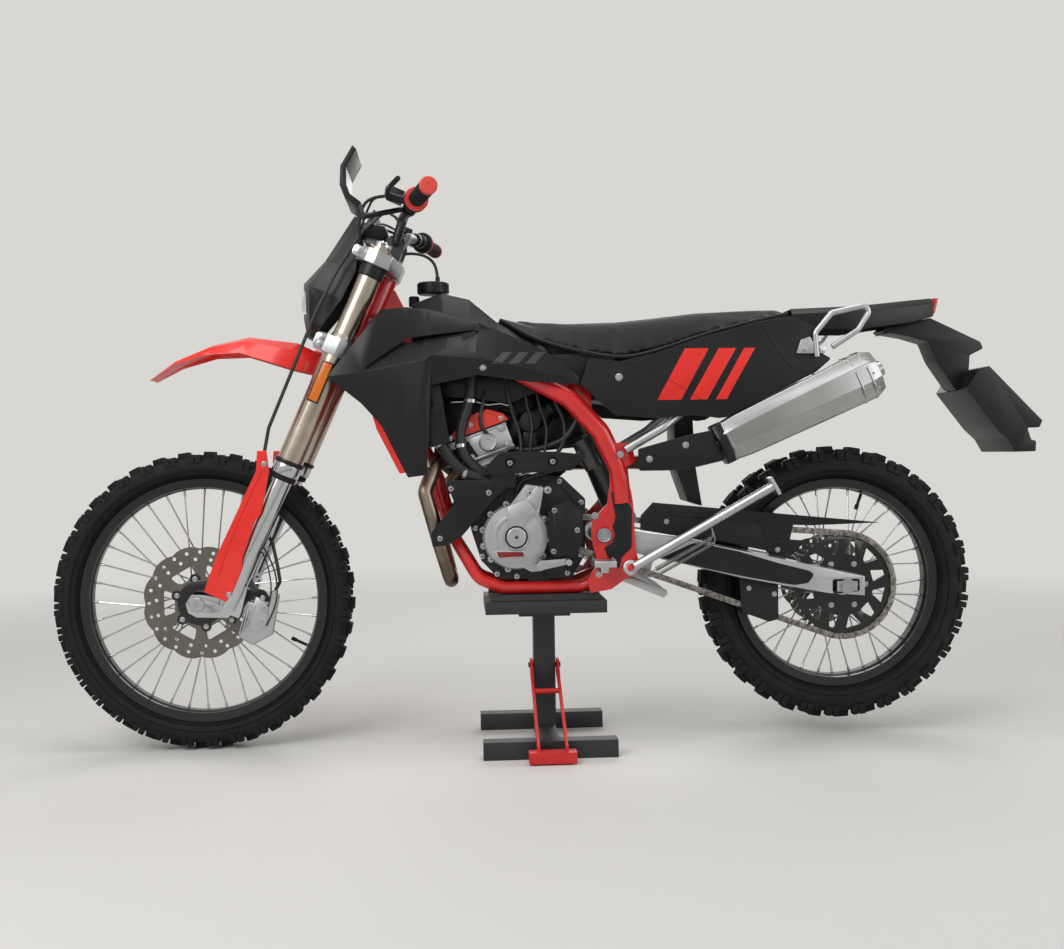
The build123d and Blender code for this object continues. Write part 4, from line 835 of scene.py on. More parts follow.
settle(faceParts, "statorFace", "root", "case_alloy")
# Black ring and centre disc: painted shade in the cover's groove and in its centre recess
settle([turned([(0.0226, 0.1122), (0.0262, 0.1122), (0.0262, 0.1128), (0.0226, 0.1128)], 40, *crank),
    discOut((crank[0], 0.115, crank[1]), 0.0042, 0.0008, 1, 6)], "coverGrooves", "root", "rubber_black")
settle(plate([(0.1357, 0.4531), (0.0755, 0.4522), (0.0722, 0.4418), (0.13, 0.44)], 0.1102, 0.1113, 0.0005),
    "coverRedBar", "root", "cover_red", finish=darkRed)

# sprocket cover with slanted ribs, then all bolts of this side
ribs = []
for index in range(4):
    x = -0.046 + index * 0.015
    ribs.append(plate([(x, 0.478 - index * 0.004), (x + 0.006, 0.476 - index * 0.004), (x + 0.018, 0.53
        + index * 0.004), (x + 0.012, 0.532 + index * 0.004)], 0.1095, 0.1122, 0.0008))
rim = plate([(-0.054, 0.47), (-0.038, 0.442), (-0.006, 0.437), (0.008, 0.452), (0.0115, 0.518), (0.001, 0.549),
    (-0.028, 0.562), (-0.056, 0.542)], 0.1095, 0.111, 0.0008)
settle(ribs + [rim], "sprocketCoverRibs", "root", "black_plastic")
guardSpots = ((0.102, 0.656), (0.004, 0.658))
caseSpots = ((0.176, 0.548), (0.183, 0.506), (0.168, 0.44), (0.134, 0.398), (0.088, 0.392), (-0.03, 0.398),
    (-0.062, 0.44), (-0.064, 0.562), (-0.014, 0.612), (0.1, 0.608), (0.142, 0.592))
boltRows = [(0.081, bossSpots), (0.0985, capSpots), (0.1105, ((0.002, 0.546), (0.005, 0.452), (-0.05, 0.5))),
    (0.1003, ((0.1513, 0.5884), (0.2641, 0.4856), (0.2375, 0.5989))), (0.1055, guardSpots), (0.0665, caseSpots)]
boltPlaces = [(x, y, z) for y, spots in boltRows for x, z in spots]
settle(boltsAt(boltPlaces, 0.005, 0.005), "engineBolts", "root", "spoke_steel")
# Black discs on the socket floors: painted shade in the bolt sockets
settle([discOut((x, y + 0.0012, z), 0.0022, 0.0004, 1, 6, 0.0001) for x, y, z in boltPlaces], "engineBoltSockets",
    "root", "rubber_black")
# Black disc and ring round each guard bolt: painted shade in its recess
settle([discOut((x, 0.1052, z), 0.0105, 0.0004, edge=0.0001) for x, z in guardSpots]
    + [turned([(0.0108, 0.1118), (0.0128, 0.1118), (0.0128, 0.1128), (0.0118, 0.1132), (0.0108, 0.1126)], 32, x, z)
    for x, z in guardSpots], "guardRecesses", "root", "rubber_black")

# crankcase ribs and starter cap, then the round cap and bands of the cylinder
caseParts = []
for x0, z0, x1, z1 in ((0.178, 0.52, 0.15, 0.59), (0.176, 0.47, 0.12, 0.398), (-0.066, 0.47, -0.03, 0.402),
        (-0.01, 0.614, 0.062, 0.622), (-0.06, 0.55, -0.02, 0.606)):
    away = Vector((z1 - z0, 0, x0 - x1)).normalized() * 0.0028
    caseParts.append(plate([(x0 + away.x, z0 + away.z), (x0 - away.x, z0 - away.z), (x1 - away.x, z1 - away.z),
        (x1 + away.x, z1 + away.z)], 0.0655, 0.0705, 0.001))
caseParts.append(turned([(0.0, 0.052), (0.01, 0.052), (0.0125, 0.05), (0.0255, 0.04), (0.0262, 0.036), (0.0262, 0.02),
    (0.0, 0.02)], 36, -0.006, 0.646))
settle(caseParts, "caseRibs", "root", "case_dark")
cylinderFrame = Matrix.Translation((crank[0], 0, crank[1])) @ turnY(math.radians(20))
headSpots = ((-0.06, 0.205), (-0.06, 0.246), (0.03, 0.206), (0.058, 0.246))


def onCylinder(obj):
    return moved(obj, cylinderFrame)


headParts = [onCylinder(turned([(0.0, 0.069), (0.006, 0.069), (0.0075, 0.0715), (0.014, 0.072), (0.015, 0.0705),
    (0.0178, 0.0712), (0.02, 0.0695), (0.0215, 0.06), (0.0215, 0.056), (0.0, 0.056)], 40, -0.018, 0.226))]
headParts += [onCylinder(discOut((x, 0.057, z), 0.0085, 0.004, 1, 20)) for x, z in headSpots]
headParts += [onCylinder(plate([(-0.0735, z - 0.0022), (0.0735, z - 0.0022), (0.0735, z + 0.0022),
    (-0.0735, z + 0.0022)], 0.056, 0.0605, 0.0012)) for z in (0.199, 0.2525)]
settle(headParts, "headDetails", "root", "case_alloy")
gasketPlates = [
    ([(-0.0825, 0.256), (0.0815, 0.256), (0.0815, 0.259), (-0.0825, 0.259)], -0.0615, 0.0615, 0.0006),
    ([(0.014, 0.203), (0.066, 0.203), (0.066, 0.244), (0.024, 0.244)], 0.0575, 0.0592, 0.0006),
]
settle([onCylinder(plate(*row)) for row in gasketPlates], "headGasket", "root", "rubber_black")
headBolts = [onCylinder(boltHead((x, 0.06, z), 0.0046, 0.0045)) for x, z in ((-0.066, 0.268), (0.006, 0.278),
    (0.06, 0.265))]
headBolts += [onCylinder(boltHead((x, 0.061, z), 0.005, 0.0045)) for x, z in headSpots]
settle(headBolts, "headBolts", "root", "spoke_steel")
settle(onCylinder(plate([(-0.06, 0.284), (-0.044, 0.2935), (0.0, 0.2935), (0.034, 0.278), (0.03, 0.274),
    (-0.002, 0.288), (-0.042, 0.288), (-0.056, 0.28)], 0.059, 0.062, 0.0009)), "valveCoverRidge", "root", "cover_red")

# hoses and wiring round the engine

hoseRuns = [
    (0.012, [(0.186, 0.072, 0.862), (0.19, 0.074, 0.8), (0.2125, 0.076, 0.742), (0.2165, 0.08, 0.7), (0.196, 0.082,
        0.655), (0.16, 0.08, 0.632)]),
    (0.0135, [(0.318, 0.096, 0.742), (0.285, 0.094, 0.73), (0.262, 0.086, 0.705), (0.24, 0.082, 0.668), (0.205, 0.084,
        0.634), (0.168, 0.084, 0.622), (0.13, 0.078, 0.612)]),
    (0.013, [(0.33, -0.1, 0.69), (0.29, -0.098, 0.68), (0.24, -0.088, 0.64), (0.17, -0.076, 0.58),
        (0.14, -0.07, 0.52)]),
    (0.0045, [(0.15, 0.04, 0.862), (0.159, 0.062, 0.8), (0.169, 0.067, 0.765), (0.165, 0.068, 0.735),
        (0.15, 0.066, 0.722)]),
    (0.0042, [(0.11, 0.056, 0.862), (0.1, 0.062, 0.79), (0.078, 0.06, 0.73), (0.072, 0.064, 0.69),
        (0.08, 0.07, 0.64)]),
    (0.0036, [(0.06, 0.05, 0.86), (0.064, 0.06, 0.8), (0.046, 0.062, 0.752), (0.052, 0.064, 0.7),
        (0.06, 0.07, 0.632)]),
    (0.0036, [(0.04, 0.054, 0.86), (0.036, 0.062, 0.8), (0.012, 0.064, 0.74), (0.018, 0.066, 0.69),
        (0.026, 0.07, 0.628)]),
    (0.005, [(0.004, 0.04, 0.858), (-0.004, 0.058, 0.8), (-0.03, 0.062, 0.75), (-0.026, 0.064, 0.69),
        (0.0, 0.06, 0.668)]),
    (0.007, [(0.13, 0.03, 0.7), (0.096, 0.048, 0.69), (0.05, 0.058, 0.684), (0.006, 0.06, 0.694), (-0.04, 0.062,
        0.716), (-0.06, 0.062, 0.76)]),
    (0.0055, [(0.09, 0.062, 0.56), (0.086, 0.074, 0.606), (0.06, 0.078, 0.622), (0.01, 0.078, 0.634), (-0.04, 0.072,
        0.65), (-0.08, 0.066, 0.7)]),
]
settle([hose(points, radius, 4, 8) for radius, points in hoseRuns], "engineHoses", "root", "hose_black")
clampSpots = (((0.19, 0.0742, 0.8), (0.06, 0.02, -1)), ((0.205, 0.0838, 0.634), (-0.9, 0, -0.3)),
    ((0.2155, 0.0795, 0.697), (-0.1, 0.05, -1)), ((0.262, 0.0865, 0.703), (-0.6, -0.1, -0.8)))
settle([standing(lathe([(0.0118, -0.004), (0.0142, -0.004), (0.0142, 0.004), (0.0118, 0.004)], 24), aimed(place, way))
    for place, way in clampSpots], "hoseClamps", "root", "spoke_steel")

# dark trays and rings that close the space under the tank: partly the tank's underside, partly painted shade that
# fills the gap
shadeTrayPlates = [
    ([(0.1, 0.792), (0.18, 0.806), (0.28, 0.812), (0.292, 0.862), (-0.02, 0.862), (-0.018, 0.853), (0.04, 0.818)],
        -0.056, 0.056, 0.003),
    ([(0.034, 0.686), (0.07, 0.69), (0.068, 0.728), (0.036, 0.726)], -0.03, 0.048, 0.003),
]
shadeTrays = [plate(*row) for row in shadeTrayPlates]
for side in (1, -1):
    shadeTrays.append(sidePlate([(0.238, 0.704), (0.29, 0.694), (0.338, 0.858), (0.262, 0.858)], 0.082, 0.128, side,
        0.004))
    shadeTrays.append(sectorPlate((0.285, 0.79), 0.008, 0.034, 0, 350, *sorted((side * 0.128, side * 0.131)), 0.0006, 30))
settle(shadeTrays, "underTankTrays", "root", "black_plastic")
settle(plate([(0.092, 0.785), (0.12, 0.7925), (0.15, 0.7895), (0.18, 0.7985), (0.236, 0.7965), (0.236, 0.799),
    (0.18, 0.801), (0.15, 0.792), (0.12, 0.795), (0.092, 0.7875)], -0.058, 0.062, 0.0004), "heatFoil", "root",
    "alloy")
print("stage: engine")


# frame plates, pivot and footrest details

settle(onBothSides([(-0.1287, 0.5844), (-0.1345, 0.5882), (-0.1745, 0.5532), (-0.1775, 0.5453), (-0.1755, 0.4575),
    (-0.1518, 0.4352), (-0.1457, 0.4083), (-0.1192, 0.4395), (-0.1119, 0.4577), (-0.1317, 0.47), (-0.137, 0.488),
    (-0.1317, 0.506), (-0.1395, 0.5271)], 0.1045, 0.1082, 0.0012), "pivotPlateInserts", "root", "black_plastic")
pivotRings = []
for side in (1, -1):
    ringPiece = lathe([(0.0, 0.1115), (0.0056, 0.1115), (0.0062, 0.1158), (0.01, 0.1162), (0.0112, 0.1148),
        (0.012, 0.1148), (0.0135, 0.116), (0.0158, 0.1156), (0.017, 0.1135), (0.017, 0.105), (0.0, 0.105)], 40)
    if side < 0:
        turnOver(ringPiece)
    pivotRings.append(moved(ringPiece, Matrix.Translation((-0.112, 0, 0.487))))
settle(pivotRings, "pivotRings", "root", "spoke_steel")
frameBolts = boltsAt([(-0.15, 0.1203, 0.672), (-0.15, -0.1203, 0.672), (-0.1, 0.1052, 0.398), (-0.165, 0.1052, 0.404),
    (-0.1, -0.1052, 0.398), (-0.092, 0.1052, 0.532), (-0.092, -0.1052, 0.532)], 0.0066, 0.0055)
settle(frameBolts, "frameBolts", "root", "spoke_steel")
settle([sidePlate([(edge, 0.433), (edge + 0.0035, 0.433), (edge + 0.0025, 0.4385), (edge + 0.001, 0.4385)], 0.128
    + index * 0.0105, 0.133 + index * 0.0105, side, 0) for side in (1, -1) for edge in (-0.1285,
    -0.0845) for index in range(6)], "pegTeeth", "root", "stand_alloy")
print("stage: frame details")


# patches that follow the skin of a node

surfaceTrees = {}
missedY = 0.12


def surfaceAt(nodeName, x, z, side=1):
    # The height in Y of the node's outer skin at one place, seen from the side
    if nodeName not in surfaceTrees:
        mesh = nodes[nodeName].data
        surfaceTrees[nodeName] = BVHTree.FromPolygons([vertex.co.copy() for vertex in mesh.vertices],
            [tuple(face.vertices) for face in mesh.polygons])
    place = surfaceTrees[nodeName].ray_cast(Vector((x, side * 0.5, z)), Vector((0, -side, 0)))[0]
    if place is None:
        # A place that misses the skin is named in the log
        print("no skin at", nodeName, round(x, 3), round(z, 3))
        return side * missedY
    return place.y


def draped(nodeName, stations, side=1, lift=0.0002, thick=0.001, columns=14, rows=5):
    # A thin patch laid on a node, from pairs of a low and a high corner
    clearPick()
    bpy.ops.mesh.primitive_grid_add(x_subdivisions=columns, y_subdivisions=rows, size=1, location=(0, 0, 0))
    obj = bpy.context.object
    for vertex in obj.data.vertices:
        along = (vertex.co.x + 0.5) * (len(stations) - 1)
        index = min(int(along), len(stations) - 2)
        low = Vector(stations[index][0]).lerp(Vector(stations[index + 1][0]), along - index)
        high = Vector(stations[index][1]).lerp(Vector(stations[index + 1][1]), along - index)
        x, z = low.lerp(high, vertex.co.y + 0.5)
        vertex.co = (x, surfaceAt(nodeName, x, z, side) + side * lift, z)
    obj.data.update()
    if sum(face.normal.y for face in obj.data.polygons) * side < 0:
        obj.data.flip_normals()
    applyModifier(obj, "SOLIDIFY", thickness=thick, offset=1)
    return obj


def boltsOn(nodeName, spots, radius, height, sides=(1,)):
    # Dome bolts seated on the skin of a node
    return together([boltHead((x, surfaceAt(nodeName, x, z, side) - side * 0.0004, z), radius, height, side) for x,
        z in spots for side in sides])


# bodywork: plain slanted bars, bolts and fillers

greyBars = []
redBars = []
for side in (1, -1):
    for x in (0.142, 0.104, 0.066):
        greyBars.append(draped("shrouds", [((x, 0.88), (x - 0.026, 0.907)), ((x - 0.022, 0.88), (x - 0.048, 0.907))],
            side, thick=0.0006))
    for low, high, width in ((-0.235, -0.3, 0.055), (-0.31, -0.378, 0.04), (-0.37, -0.437, 0.025)):
        redBars.append(sidePlate([(low, 0.795), (low - width, 0.795), (high - width, 0.912), (high, 0.912)], 0.132,
            0.1332, side, 0.0004))
settle(greyBars, "shroudBars", "root", "black_plastic", finish=stripeGrey)
settle(redBars, "panelBars", "root", "red_plastic")
settle(boltsOn("shrouds", [(0.1616, 0.8723)], 0.0062, 0.004, (1, -1)), "shroudBolts", "root", "spoke_steel")
settle(boltsOn("side_panels", [(-0.1477, 0.8482)], 0.007, 0.004, (1, -1)), "panelBolts", "root", "spoke_steel")
# A black sheet down the middle, behind the cylinder: painted shade that closes the see-through gap between engine and
# tank
middleShadeSheet = plate([(0.276, 0.66), (0.276, 0.838), (0.06, 0.838), (-0.05, 0.812), (-0.096, 0.74), (-0.06, 0.69)],
    -0.004, 0.004, 0.001)
sidePanels = onBothSides([(-0.15, 0.8), (-0.03, 0.842), (0.02, 0.858), (0.03, 0.902), (-0.06, 0.905), (-0.14, 0.915)],
    0.098, 0.101, 0.001)
settle([middleShadeSheet] + sidePanels, "innerPanels", "root", "black_plastic")
contourRuns = (((-0.16, 0.884), (-0.2, 0.87), (-0.262, 0.842), (-0.33, 0.8), (-0.372, 0.768)), ((-0.48, 0.965),
    (-0.52, 0.9), (-0.548, 0.862), (-0.6, 0.85)))
settle([hose([(x, side * 0.1318, z) for x, z in run], 0.0016, 3, 8) for side in (1, -1) for run in contourRuns],
    "panelContours", "root", "black_plastic")
print("stage: bodywork details")


# thin seat nose, and piping along the seat's base line

pipeRows = [(0.114, 0.985, 0.062), (0.08, 0.963, 0.0765), (0.04, 0.939, 0.0925), (-0.036, 0.914, 0.1125),
    (-0.15, 0.889, 0.1215), (-0.235, 0.906, 0.1215), (-0.34, 0.942, 0.1195), (-0.47, 0.976, 0.1075), (-0.55, 0.993,
    0.09)]
noseRows = [(0.118, (0.9945, 0.9905, 0.986), (0.0364, 0.058, 0.062)), (0.03, (0.9725, 0.961, 0.934), (0.043, 0.068,
    0.09))]


def seatNose():
    # The thin front end of the seat, which the foam shape is too coarse for
    clearPick()
    bpy.ops.mesh.primitive_grid_add(x_subdivisions=8, y_subdivisions=16, size=1, location=(0, 0, 0))
    obj = bpy.context.object
    for vertex in obj.data.vertices:
        share = vertex.co.x + 0.5
        across = abs(vertex.co.y) * 2
        heights = [a + (b - a) * share for a, b in zip(noseRows[0][1], noseRows[1][1])]
        widths = [a + (b - a) * share for a, b in zip(noseRows[0][2], noseRows[1][2])]
        line = [(0.0, 0.0, heights[0]), (0.45, widths[0], heights[0]), (0.75, widths[1], heights[1]), (1.0, widths[2],
            heights[2])]
        for first, second in zip(line, line[1:]):
            if across <= second[0] + 0.0001:
                part = (across - first[0]) / (second[0] - first[0])
                y = first[1] + (second[1] - first[1]) * part
                z = first[2] + (second[2] - first[2]) * part
                break
        x = noseRows[0][0] + (noseRows[1][0] - noseRows[0][0]) * share
        vertex.co = (x, math.copysign(y, vertex.co.y), z)
    obj.data.update()
    if sum(face.normal.z for face in obj.data.polygons) < 0:
        obj.data.flip_normals()
    applyModifier(obj, "SOLIDIFY", thickness=0.004, offset=-1)
    return obj


settle(seatNose(), "seatNose", "root", "seat_cover", smooth=50)
settle([hose([(x, side * y, z + 0.0012) for x, z, y in pipeRows], 0.0042, 4, 8) for side in (1, -1)], "seatPiping",
    "root", "seat_cover")


# muffler bands, outlet and rivets, and heat shield bolts

def roundedOutline(points, cut, steps=5):
    # The same outline with a curve over each corner
    made = []
    for index, corner in enumerate(points):
        here = Vector(corner)
        before = Vector(points[index - 1]) - here
        after = Vector(points[(index + 1) % len(points)]) - here
        start = here + before.normalized() * min(cut, before.length * 0.45)
        end = here + after.normalized() * min(cut, after.length * 0.45)
        for step in range(steps + 1):
            share = step / steps
            made.append(tuple(start.lerp(here, share).lerp(here.lerp(end, share), share)))
    return made


mufflerSizes = {"rise": 24.5, "front": (-0.378, 0.118, 0.69), "rows": [(0.0, 0.044, 0.034), (0.06, 0.05, 0.042),
    (0.379, 0.057, 0.044), (0.405, 0.045, 0.036)]}
rise = math.radians(mufflerSizes["rise"])
mufflerFrame = Matrix.Translation(mufflerSizes["front"]) @ Matrix(((0, -math.cos(rise), math.sin(rise), 0),
    (1, 0, 0, 0), (0, math.sin(rise), math.cos(rise), 0), (0, 0, 0, 1)))


def mufflerOutline(along, grow):
    rows = mufflerSizes["rows"]
    for first, second in zip(rows, rows[1:]):
        if along <= second[0]:
            share = (along - first[0]) / (second[0] - first[0])
            tall = first[1] + (second[1] - first[1]) * share + grow
            wide = first[2] + (second[2] - first[2]) * share + grow
            break
    return roundedOutline([(-wide, -tall * 0.45), (-wide * 0.55, -tall), (wide * 0.55, -tall), (wide, -tall * 0.45),
        (wide, tall * 0.3), (wide * 0.62, tall), (-wide * 0.62, tall), (-wide, tall * 0.3)], 0.0038)


def mufflerBand(low, high, grow, edge):
    return moved(plate(mufflerOutline(high, grow), low, high, edge), mufflerFrame)


settle(mufflerBand(-0.002, 0.02, 0.0016, 0.0012), "mufflerFrontBand", "root", "black_plastic", finish=glossPlastic)
seams = [mufflerBand(0.0215, 0.0245, 0.0014, 0.0006), mufflerBand(0.3465, 0.35, 0.0016, 0.0008), mufflerBand(0.3745,
    0.379, 0.001, 0.001)]
settle(seams, "mufflerSeams", "root", "muffler_steel")
# A black disc in the muffler's outlet: painted shade of its bore
settle(moved(lathe([(0.0, 0.406), (0.0148, 0.406), (0.0148, 0.4085), (0.0, 0.4085)], 32), mufflerFrame), "outletDark",
    "root", "rubber_black")
settle(boltsOn("muffler", [(-0.7138, 0.8815), (-0.7283, 0.8497), (-0.7428, 0.8178)], 0.003, 0.0022), "mufflerRivets",
    "root", "spoke_steel")
settle(boltsOn("exhaust_shield", [(-0.2975, 0.6916), (-0.2139, 0.6607)], 0.006, 0.004), "shieldBolts", "root",
    "spoke_steel")


# forged grab handle brackets and their bolts

settle(onBothSides([(-0.556, 0.8975), (-0.6225, 0.8969), (-0.626, 0.9142), (-0.599, 0.916), (-0.5884, 0.937),
    (-0.5667, 0.929)], 0.1322, 0.14, 0.0022), "grabBrackets", "root", "alloy")
settle(boltsAt([(x, side * 0.1398, z) for x, z in ((-0.5745, 0.907), (-0.608, 0.906)) for side in (1, -1)], 0.0052,
    0.004), "grabBolts", "root", "spoke_steel")
print("stage: tail and muffler")


# swingarm panels, axle adjusters, chain guard wedge and bolts

armPanels = [draped("swingarm", [((-0.248, 0.429), (-0.2448, 0.4315)), ((-0.3163, 0.414), (-0.3163, 0.466)),
    ((-0.3563, 0.404), (-0.3563, 0.46)), ((-0.4357, 0.386), (-0.425, 0.444)), ((-0.55, 0.364), (-0.515, 0.416)),
    ((-0.5836, 0.368), (-0.5884, 0.3965)), ((-0.5935, 0.38), (-0.5973, 0.3885))], side, 0.0001, 0.0008, 28,
    6) for side in (1, -1)]
settle(armPanels, "armPanels", "root", "black_plastic")
settle([moved(lathe([(0.0, 0.0), (0.0042, 0.0), (0.0042, 0.018), (0.0078, 0.018), (0.0078, 0.0235), (0.006, 0.025),
    (0.0, 0.025)], 18), Matrix.Translation((-0.7, side * 0.102, 0.3605)) @ Matrix.Rotation(math.pi / 2, 4,
    "Z")) for side in (1, -1)], "axleAdjusters", "root", "spoke_steel")
wedgePlates = [
    ([(-0.2, 0.53), (-0.226, 0.5575), (-0.4398, 0.5359), (-0.5075, 0.5289), (-0.4846, 0.5048), (-0.4843, 0.478),
        (-0.5567, 0.4677), (-0.5427, 0.4322), (-0.4524, 0.4518), (-0.3894, 0.4663), (-0.322, 0.4742),
        (-0.198, 0.4966)], 0.0885, 0.0915, 0.001),
    ([(-0.5151, 0.4709), (-0.5876, 0.4651), (-0.5555, 0.4322), (-0.4967, 0.4378), (-0.4878, 0.4469),
        (-0.5272, 0.4559)], 0.0905, 0.094, 0.001),
    ([(-0.226, 0.53), (-0.45, 0.517), (-0.49, 0.5115), (-0.45, 0.5205), (-0.226, 0.538)], 0.091, 0.093, 0.0006),
]
settle([plate(*row) for row in wedgePlates], "chainWedge", "root", "black_plastic")
settle(boltsAt([(-0.52, 0.0938, 0.445), (-0.26, 0.0915, 0.515), (-0.4523, 0.089, 0.3557), (-0.5123, 0.089, 0.341)],
    0.0048, 0.0036), "guardBolts", "root", "spoke_steel")
settle(boltsAt([(x, 0.0818, z) for x, z in roundSpots((rearHub[0], rearHub[2]), 0.055, range(0, 360, 60))], 0.0052,
    0.0042), "sprocketBolts", "rear_wheel", "spoke_steel")
print("stage: swingarm details")


# front wheel: disc centre, caliper, lines and guard details

carrierSpots = roundSpots((frontHub[0], frontHub[2]), 0.056, range(18, 378, 60))
carrierRing = turned([(0.019, 0.0655), (0.052, 0.0655), (0.052, 0.0676), (0.051, 0.0682), (0.02, 0.0682),
    (0.019, 0.0676)], 48, frontHub[0], frontHub[2])
settle([carrierRing] + [discOut((x, 0.0652, z), 0.012, 0.0026, 1, 20) for x, z in carrierSpots], "discCarrier",
    "front_wheel", "rim_black")
settle(boltsAt([(x, 0.0677, z) for x, z in carrierSpots], 0.005, 0.003), "carrierBolts", "front_wheel", "spoke_steel")
bracket = plate([(0.6908, 0.3812), (0.6634, 0.3754), (0.65, 0.3542), (0.657, 0.3474), (0.691, 0.3655),
    (0.7262, 0.3175), (0.73, 0.3002), (0.7471, 0.3041), (0.742, 0.33), (0.7013, 0.3692)], 0.0925, 0.096, 0.001)
settle(bracket, "caliperBracket", "steering", "black_plastic")
housing = plate([(0.683, 0.36), (0.66, 0.347), (0.656, 0.318), (0.664, 0.29), (0.679, 0.276), (0.698, 0.283),
    (0.699, 0.318)], 0.0915, 0.0945, 0.0016)
fins = [plate([(0.684 + k * 0.0075, 0.342 - k * 0.006), (0.687 + k * 0.0075, 0.343 - k * 0.006), (0.701 + k * 0.0075,
    0.296 - k * 0.006), (0.698 + k * 0.0075, 0.295 - k * 0.006)], 0.09, 0.0962, 0.0008) for k in range(4)]
settle([housing] + fins, "caliperHousing", "steering", "alloy")
pistons = [discOut((x, 0.0935, z), 0.0105, 0.003, 1, 28) for x, z in ((0.6665, 0.333), (0.671, 0.303))]
settle(pistons, "caliperCaps", "steering", "alloy")
settle(boltsAt([(0.668, 0.0958, 0.358), (0.7385, 0.0958, 0.309), (0.6665, 0.0963, 0.333), (0.671, 0.0963, 0.303)],
    0.0048, 0.0036), "caliperBolts", "steering", "spoke_steel")
sensorLines = [hose([(0.69, 0.104, 0.516), (0.6758, 0.104, 0.4944), (0.6541, 0.102, 0.4593), (0.6377, 0.101, 0.4173),
    (0.6333, 0.1, 0.3754), (0.6391, 0.098, 0.3338), (0.6605, 0.094, 0.2942)], 0.0019, 3, 8),
    hose([(0.695, 0.103, 0.508), (0.681, 0.103, 0.4876), (0.6644, 0.102, 0.4595), (0.6529, 0.1, 0.428),
    (0.6454, 0.098, 0.3687), (0.6563, 0.096, 0.3376)], 0.0016, 3, 8)]
settle(sensorLines, "caliperLines", "steering", "hose_black")
settle(turned([(0.0, 0.1135), (0.0062, 0.1135), (0.0072, 0.115), (0.015, 0.115), (0.0164, 0.1138), (0.0164, 0.109),
    (0.0, 0.109)], 36, frontHub[0], frontHub[2]), "axleEnd", "steering", "alloy")
ridgeRun = ((0.661, 0.648), (0.67, 0.628), (0.698, 0.571), (0.72, 0.524), (0.746, 0.456), (0.762, 0.41))
settle([hose([(x, surfaceAt("fork_guards", x, z, side) + side * 0.0004, z) for x, z in ridgeRun], 0.0017, 3, 6)
    for side in (1, -1)], "forkGuardRidge", "steering", "red_plastic")
settle(boltsOn("fork_guards", [(0.655, 0.662), (0.7374, 0.37)], 0.0052, 0.004, (1, -1)), "forkGuardBolts", "steering",
    "spoke_steel")
print("stage: front wheel details")


# right side: clutch cap and its bolts

clutch = (0.017, 0.481)
capY = surfaceAt("engine_covers", *clutch, -1)
clutchSpots = [(x, surfaceAt("engine_covers", x, z, -1), z) for x, z in roundSpots(clutch, 0.06, range(12, 372, 60))]
clutchDisc = turned([(0.0, capY - 0.003), (0.044, capY - 0.003), (0.047, capY - 0.0042), (0.052, capY - 0.0042),
    (0.054, capY - 0.0025), (0.054, capY + 0.002), (0.0, capY + 0.002)], 56, *clutch)
settle([clutchDisc] + [discOut((x, y + 0.001, z), 0.0082, 0.0032, -1, 20) for x, y, z in clutchSpots], "clutchCap",
    "root", "case_alloy")
settle(boltsAt([(x, y - 0.002, z) for x, y, z in clutchSpots], 0.0048, 0.004), "clutchBolts", "root", "spoke_steel")
print("stage: right side details")


# side stand springs

# Drop below the leg, coil radius and wire radius of the two springs
springSizes = {"pivot": (-0.1954, 0, 0.4137), "foot": (-0.5254, 0, 0.5911), "start": (-0.225, 0.133, 0.412),
    "length": 0.145, "turns": 34, "rows": ((0.004, 0.0052, 0.0013), (0.017, 0.004, 0.0011)), "hook": 0.0013}
standWay = (Vector(springSizes["foot"]) - Vector(springSizes["pivot"])).normalized()
standDown = Vector((-standWay.z, 0, standWay.x))


def spring(start, radius, wireRadius):
    # A close coil along the stand
    steps = springSizes["turns"] * 8
    points = []
    for step in range(steps + 1):
        angle = math.tau * step / 8
        points.append(start + standWay * (springSizes["length"] * step / steps)
            + standDown * (radius * math.cos(angle)) + Vector((0, radius * math.sin(angle), 0)))
    return hose([tuple(point) for point in points], wireRadius, 2, 2)


springs = []
hooks = []
for drop, radius, wireRadius in springSizes["rows"]:
    near = Vector(springSizes["start"]) + standDown * drop
    far = near + standWay * springSizes["length"]
    springs.append(spring(near, radius, wireRadius))
    for run in ((near, near - standWay * 0.02, near - standWay * 0.03 - standDown * drop * 0.8),
            (far, far + standWay * 0.01, far + standWay * 0.014 - standDown * (drop + 0.024))):
        hooks.append(hose([tuple(point) for point in run], springSizes["hook"], 2, 4))
settle(springs + hooks, "standSprings", "side_stand", "stand_alloy", finish=greyCast)
print("stage: side stand details")


# floor, lights, backdrop and camera

backdrop = (0.8, 0.79, 0.76, 1)
backdropGlow = 0.86


def addFloor():
    clearPick()
    bpy.ops.mesh.primitive_plane_add(size=14, location=(0, 0, 0))
    floor = bpy.context.object
    floor.name = "floor"
    mat = bpy.data.materials.new("paleFloor")
    mat.use_nodes = True
    tree = mat.node_tree
    shader = tree.nodes["Principled BSDF"]
    shader.inputs["Base Color"].default_value = (0.74, 0.73, 0.71, 1)
    shader.inputs["Roughness"].default_value = 0.7
    # The far floor takes the backdrop's tone, so that no horizon shows
    coords = addNode(tree, "TexCoord")
    reach = addNode(tree, "VectorMath", operation="LENGTH")
    fade = addNode(tree, "MapRange", {"From Min": 1.2, "From Max": 4.6}, interpolation_type="SMOOTHSTEP")
    paths = addNode(tree, "LightPath")
    share = addNode(tree, "Math", operation="MULTIPLY")
    glow = addNode(tree, "Emission", {"Color": backdrop, "Strength": backdropGlow})
    blend = addNode(tree, "MixShader")
    wire(coords, "Object", reach, 0)
    wire(reach, "Value", fade, "Value")
    wire(fade, "Result", share, 0)
    wire(paths, "Is Camera Ray", share, 1)
    wire(share, "Value", blend, 0)
    wire(shader, "BSDF", blend, 1)
    wire(glow, "Emission", blend, 2)
    wire(blend, "Shader", tree.nodes["Material Output"], "Surface")
    floor.data.materials.append(mat)


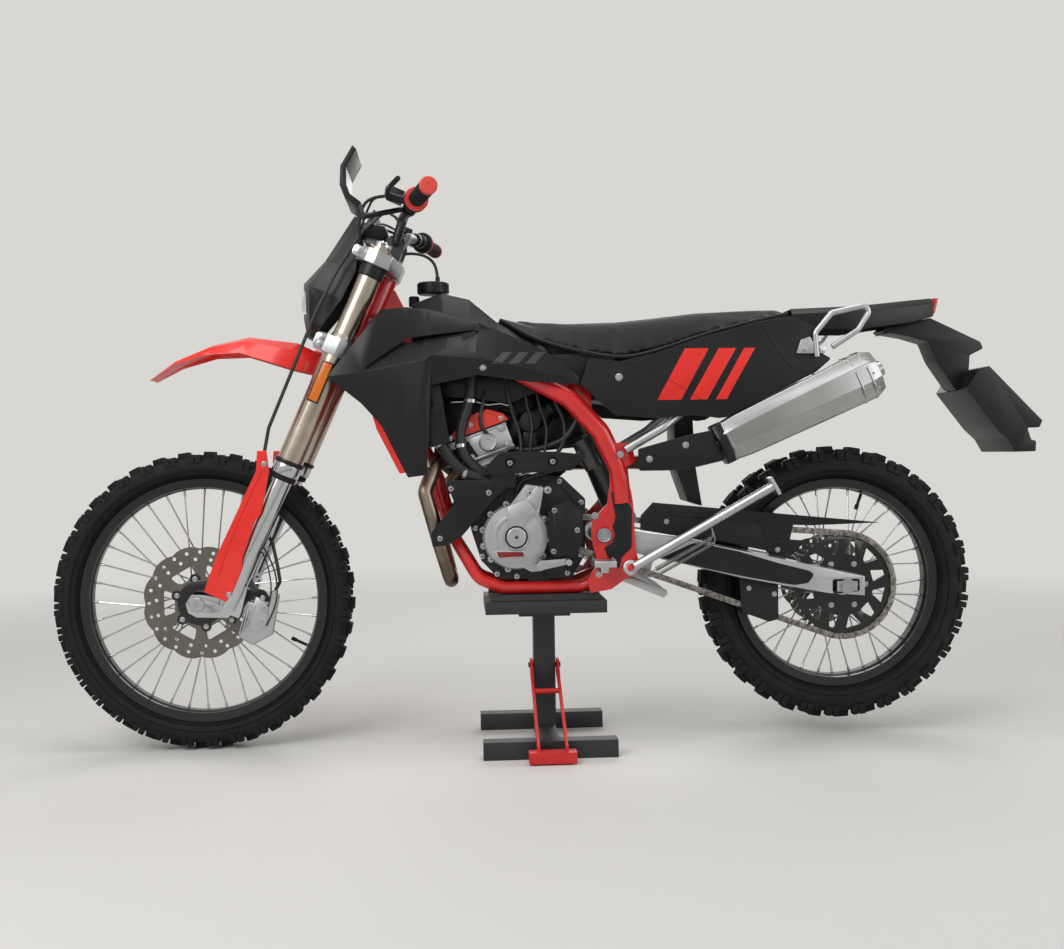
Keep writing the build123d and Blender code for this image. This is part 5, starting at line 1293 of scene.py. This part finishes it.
def addLamp(name, place, aim, size, power):
    data = bpy.data.lights.new(name, "AREA")
    data.shape = "RECTANGLE"
    data.size, data.size_y = size
    data.energy = power
    lamp = bpy.data.objects.new(name, data)
    bpy.context.scene.collection.objects.link(lamp)
    lamp.location = place
    lamp.rotation_euler = (Vector(aim) - Vector(place)).to_track_quat("-Z", "Y").to_euler()


cameraView = {"lens": 41.28, "sensor": 36, "place": (0.224, 2.8936, 0.6794), "turn": (88.9649, 0.7979, 176.4546)}


def addCamera():
    data = bpy.data.cameras.new("photoCamera")
    data.lens = cameraView["lens"]
    data.sensor_width = cameraView["sensor"]
    camera = bpy.data.objects.new("photoCamera", data)
    bpy.context.scene.collection.objects.link(camera)
    camera.location = cameraView["place"]
    camera.rotation_euler = [math.radians(a) for a in cameraView["turn"]]
    bpy.context.scene.camera = camera


def addWorld():
    world = bpy.data.worlds.new("studio")
    world.use_nodes = True
    tree = world.node_tree
    background = tree.nodes["Background"]
    background.inputs["Color"].default_value = backdrop
    paths = addNode(tree, "LightPath")
    seen = addNode(tree, "Math", operation="MAXIMUM")
    seenToo = addNode(tree, "Math", operation="MAXIMUM")
    glow = addNode(tree, "MapRange", {"To Min": 0.3, "To Max": backdropGlow})
    wire(paths, "Is Camera Ray", seen, 0)
    wire(paths, "Is Transmission Ray", seen, 1)
    wire(seen, "Value", seenToo, 0)
    wire(paths, "Is Glossy Ray", seenToo, 1)
    wire(seenToo, "Value", glow, "Value")
    wire(glow, "Result", background, "Strength")
    bpy.context.scene.world = world


addFloor()
addLamp("keyLamp", (1.9, 2.4, 2.6), (0.1, 0, 0.6), (2.2, 1.8), 62)
addLamp("fillLamp", (-2.8, 1.8, 1.6), (-0.1, 0, 0.6), (1.8, 1.8), 24)
addLamp("backLamp", (-0.6, -3.0, 2.4), (0, 0, 0.7), (2.6, 1.4), 34)
addLamp("topLamp", (0, 0.3, 3.6), (0, 0, 0), (3.0, 1.6), 44)
addWorld()
bpy.context.scene.view_settings.view_transform = "Standard"
addCamera()
print("stage: floor, lights and camera")
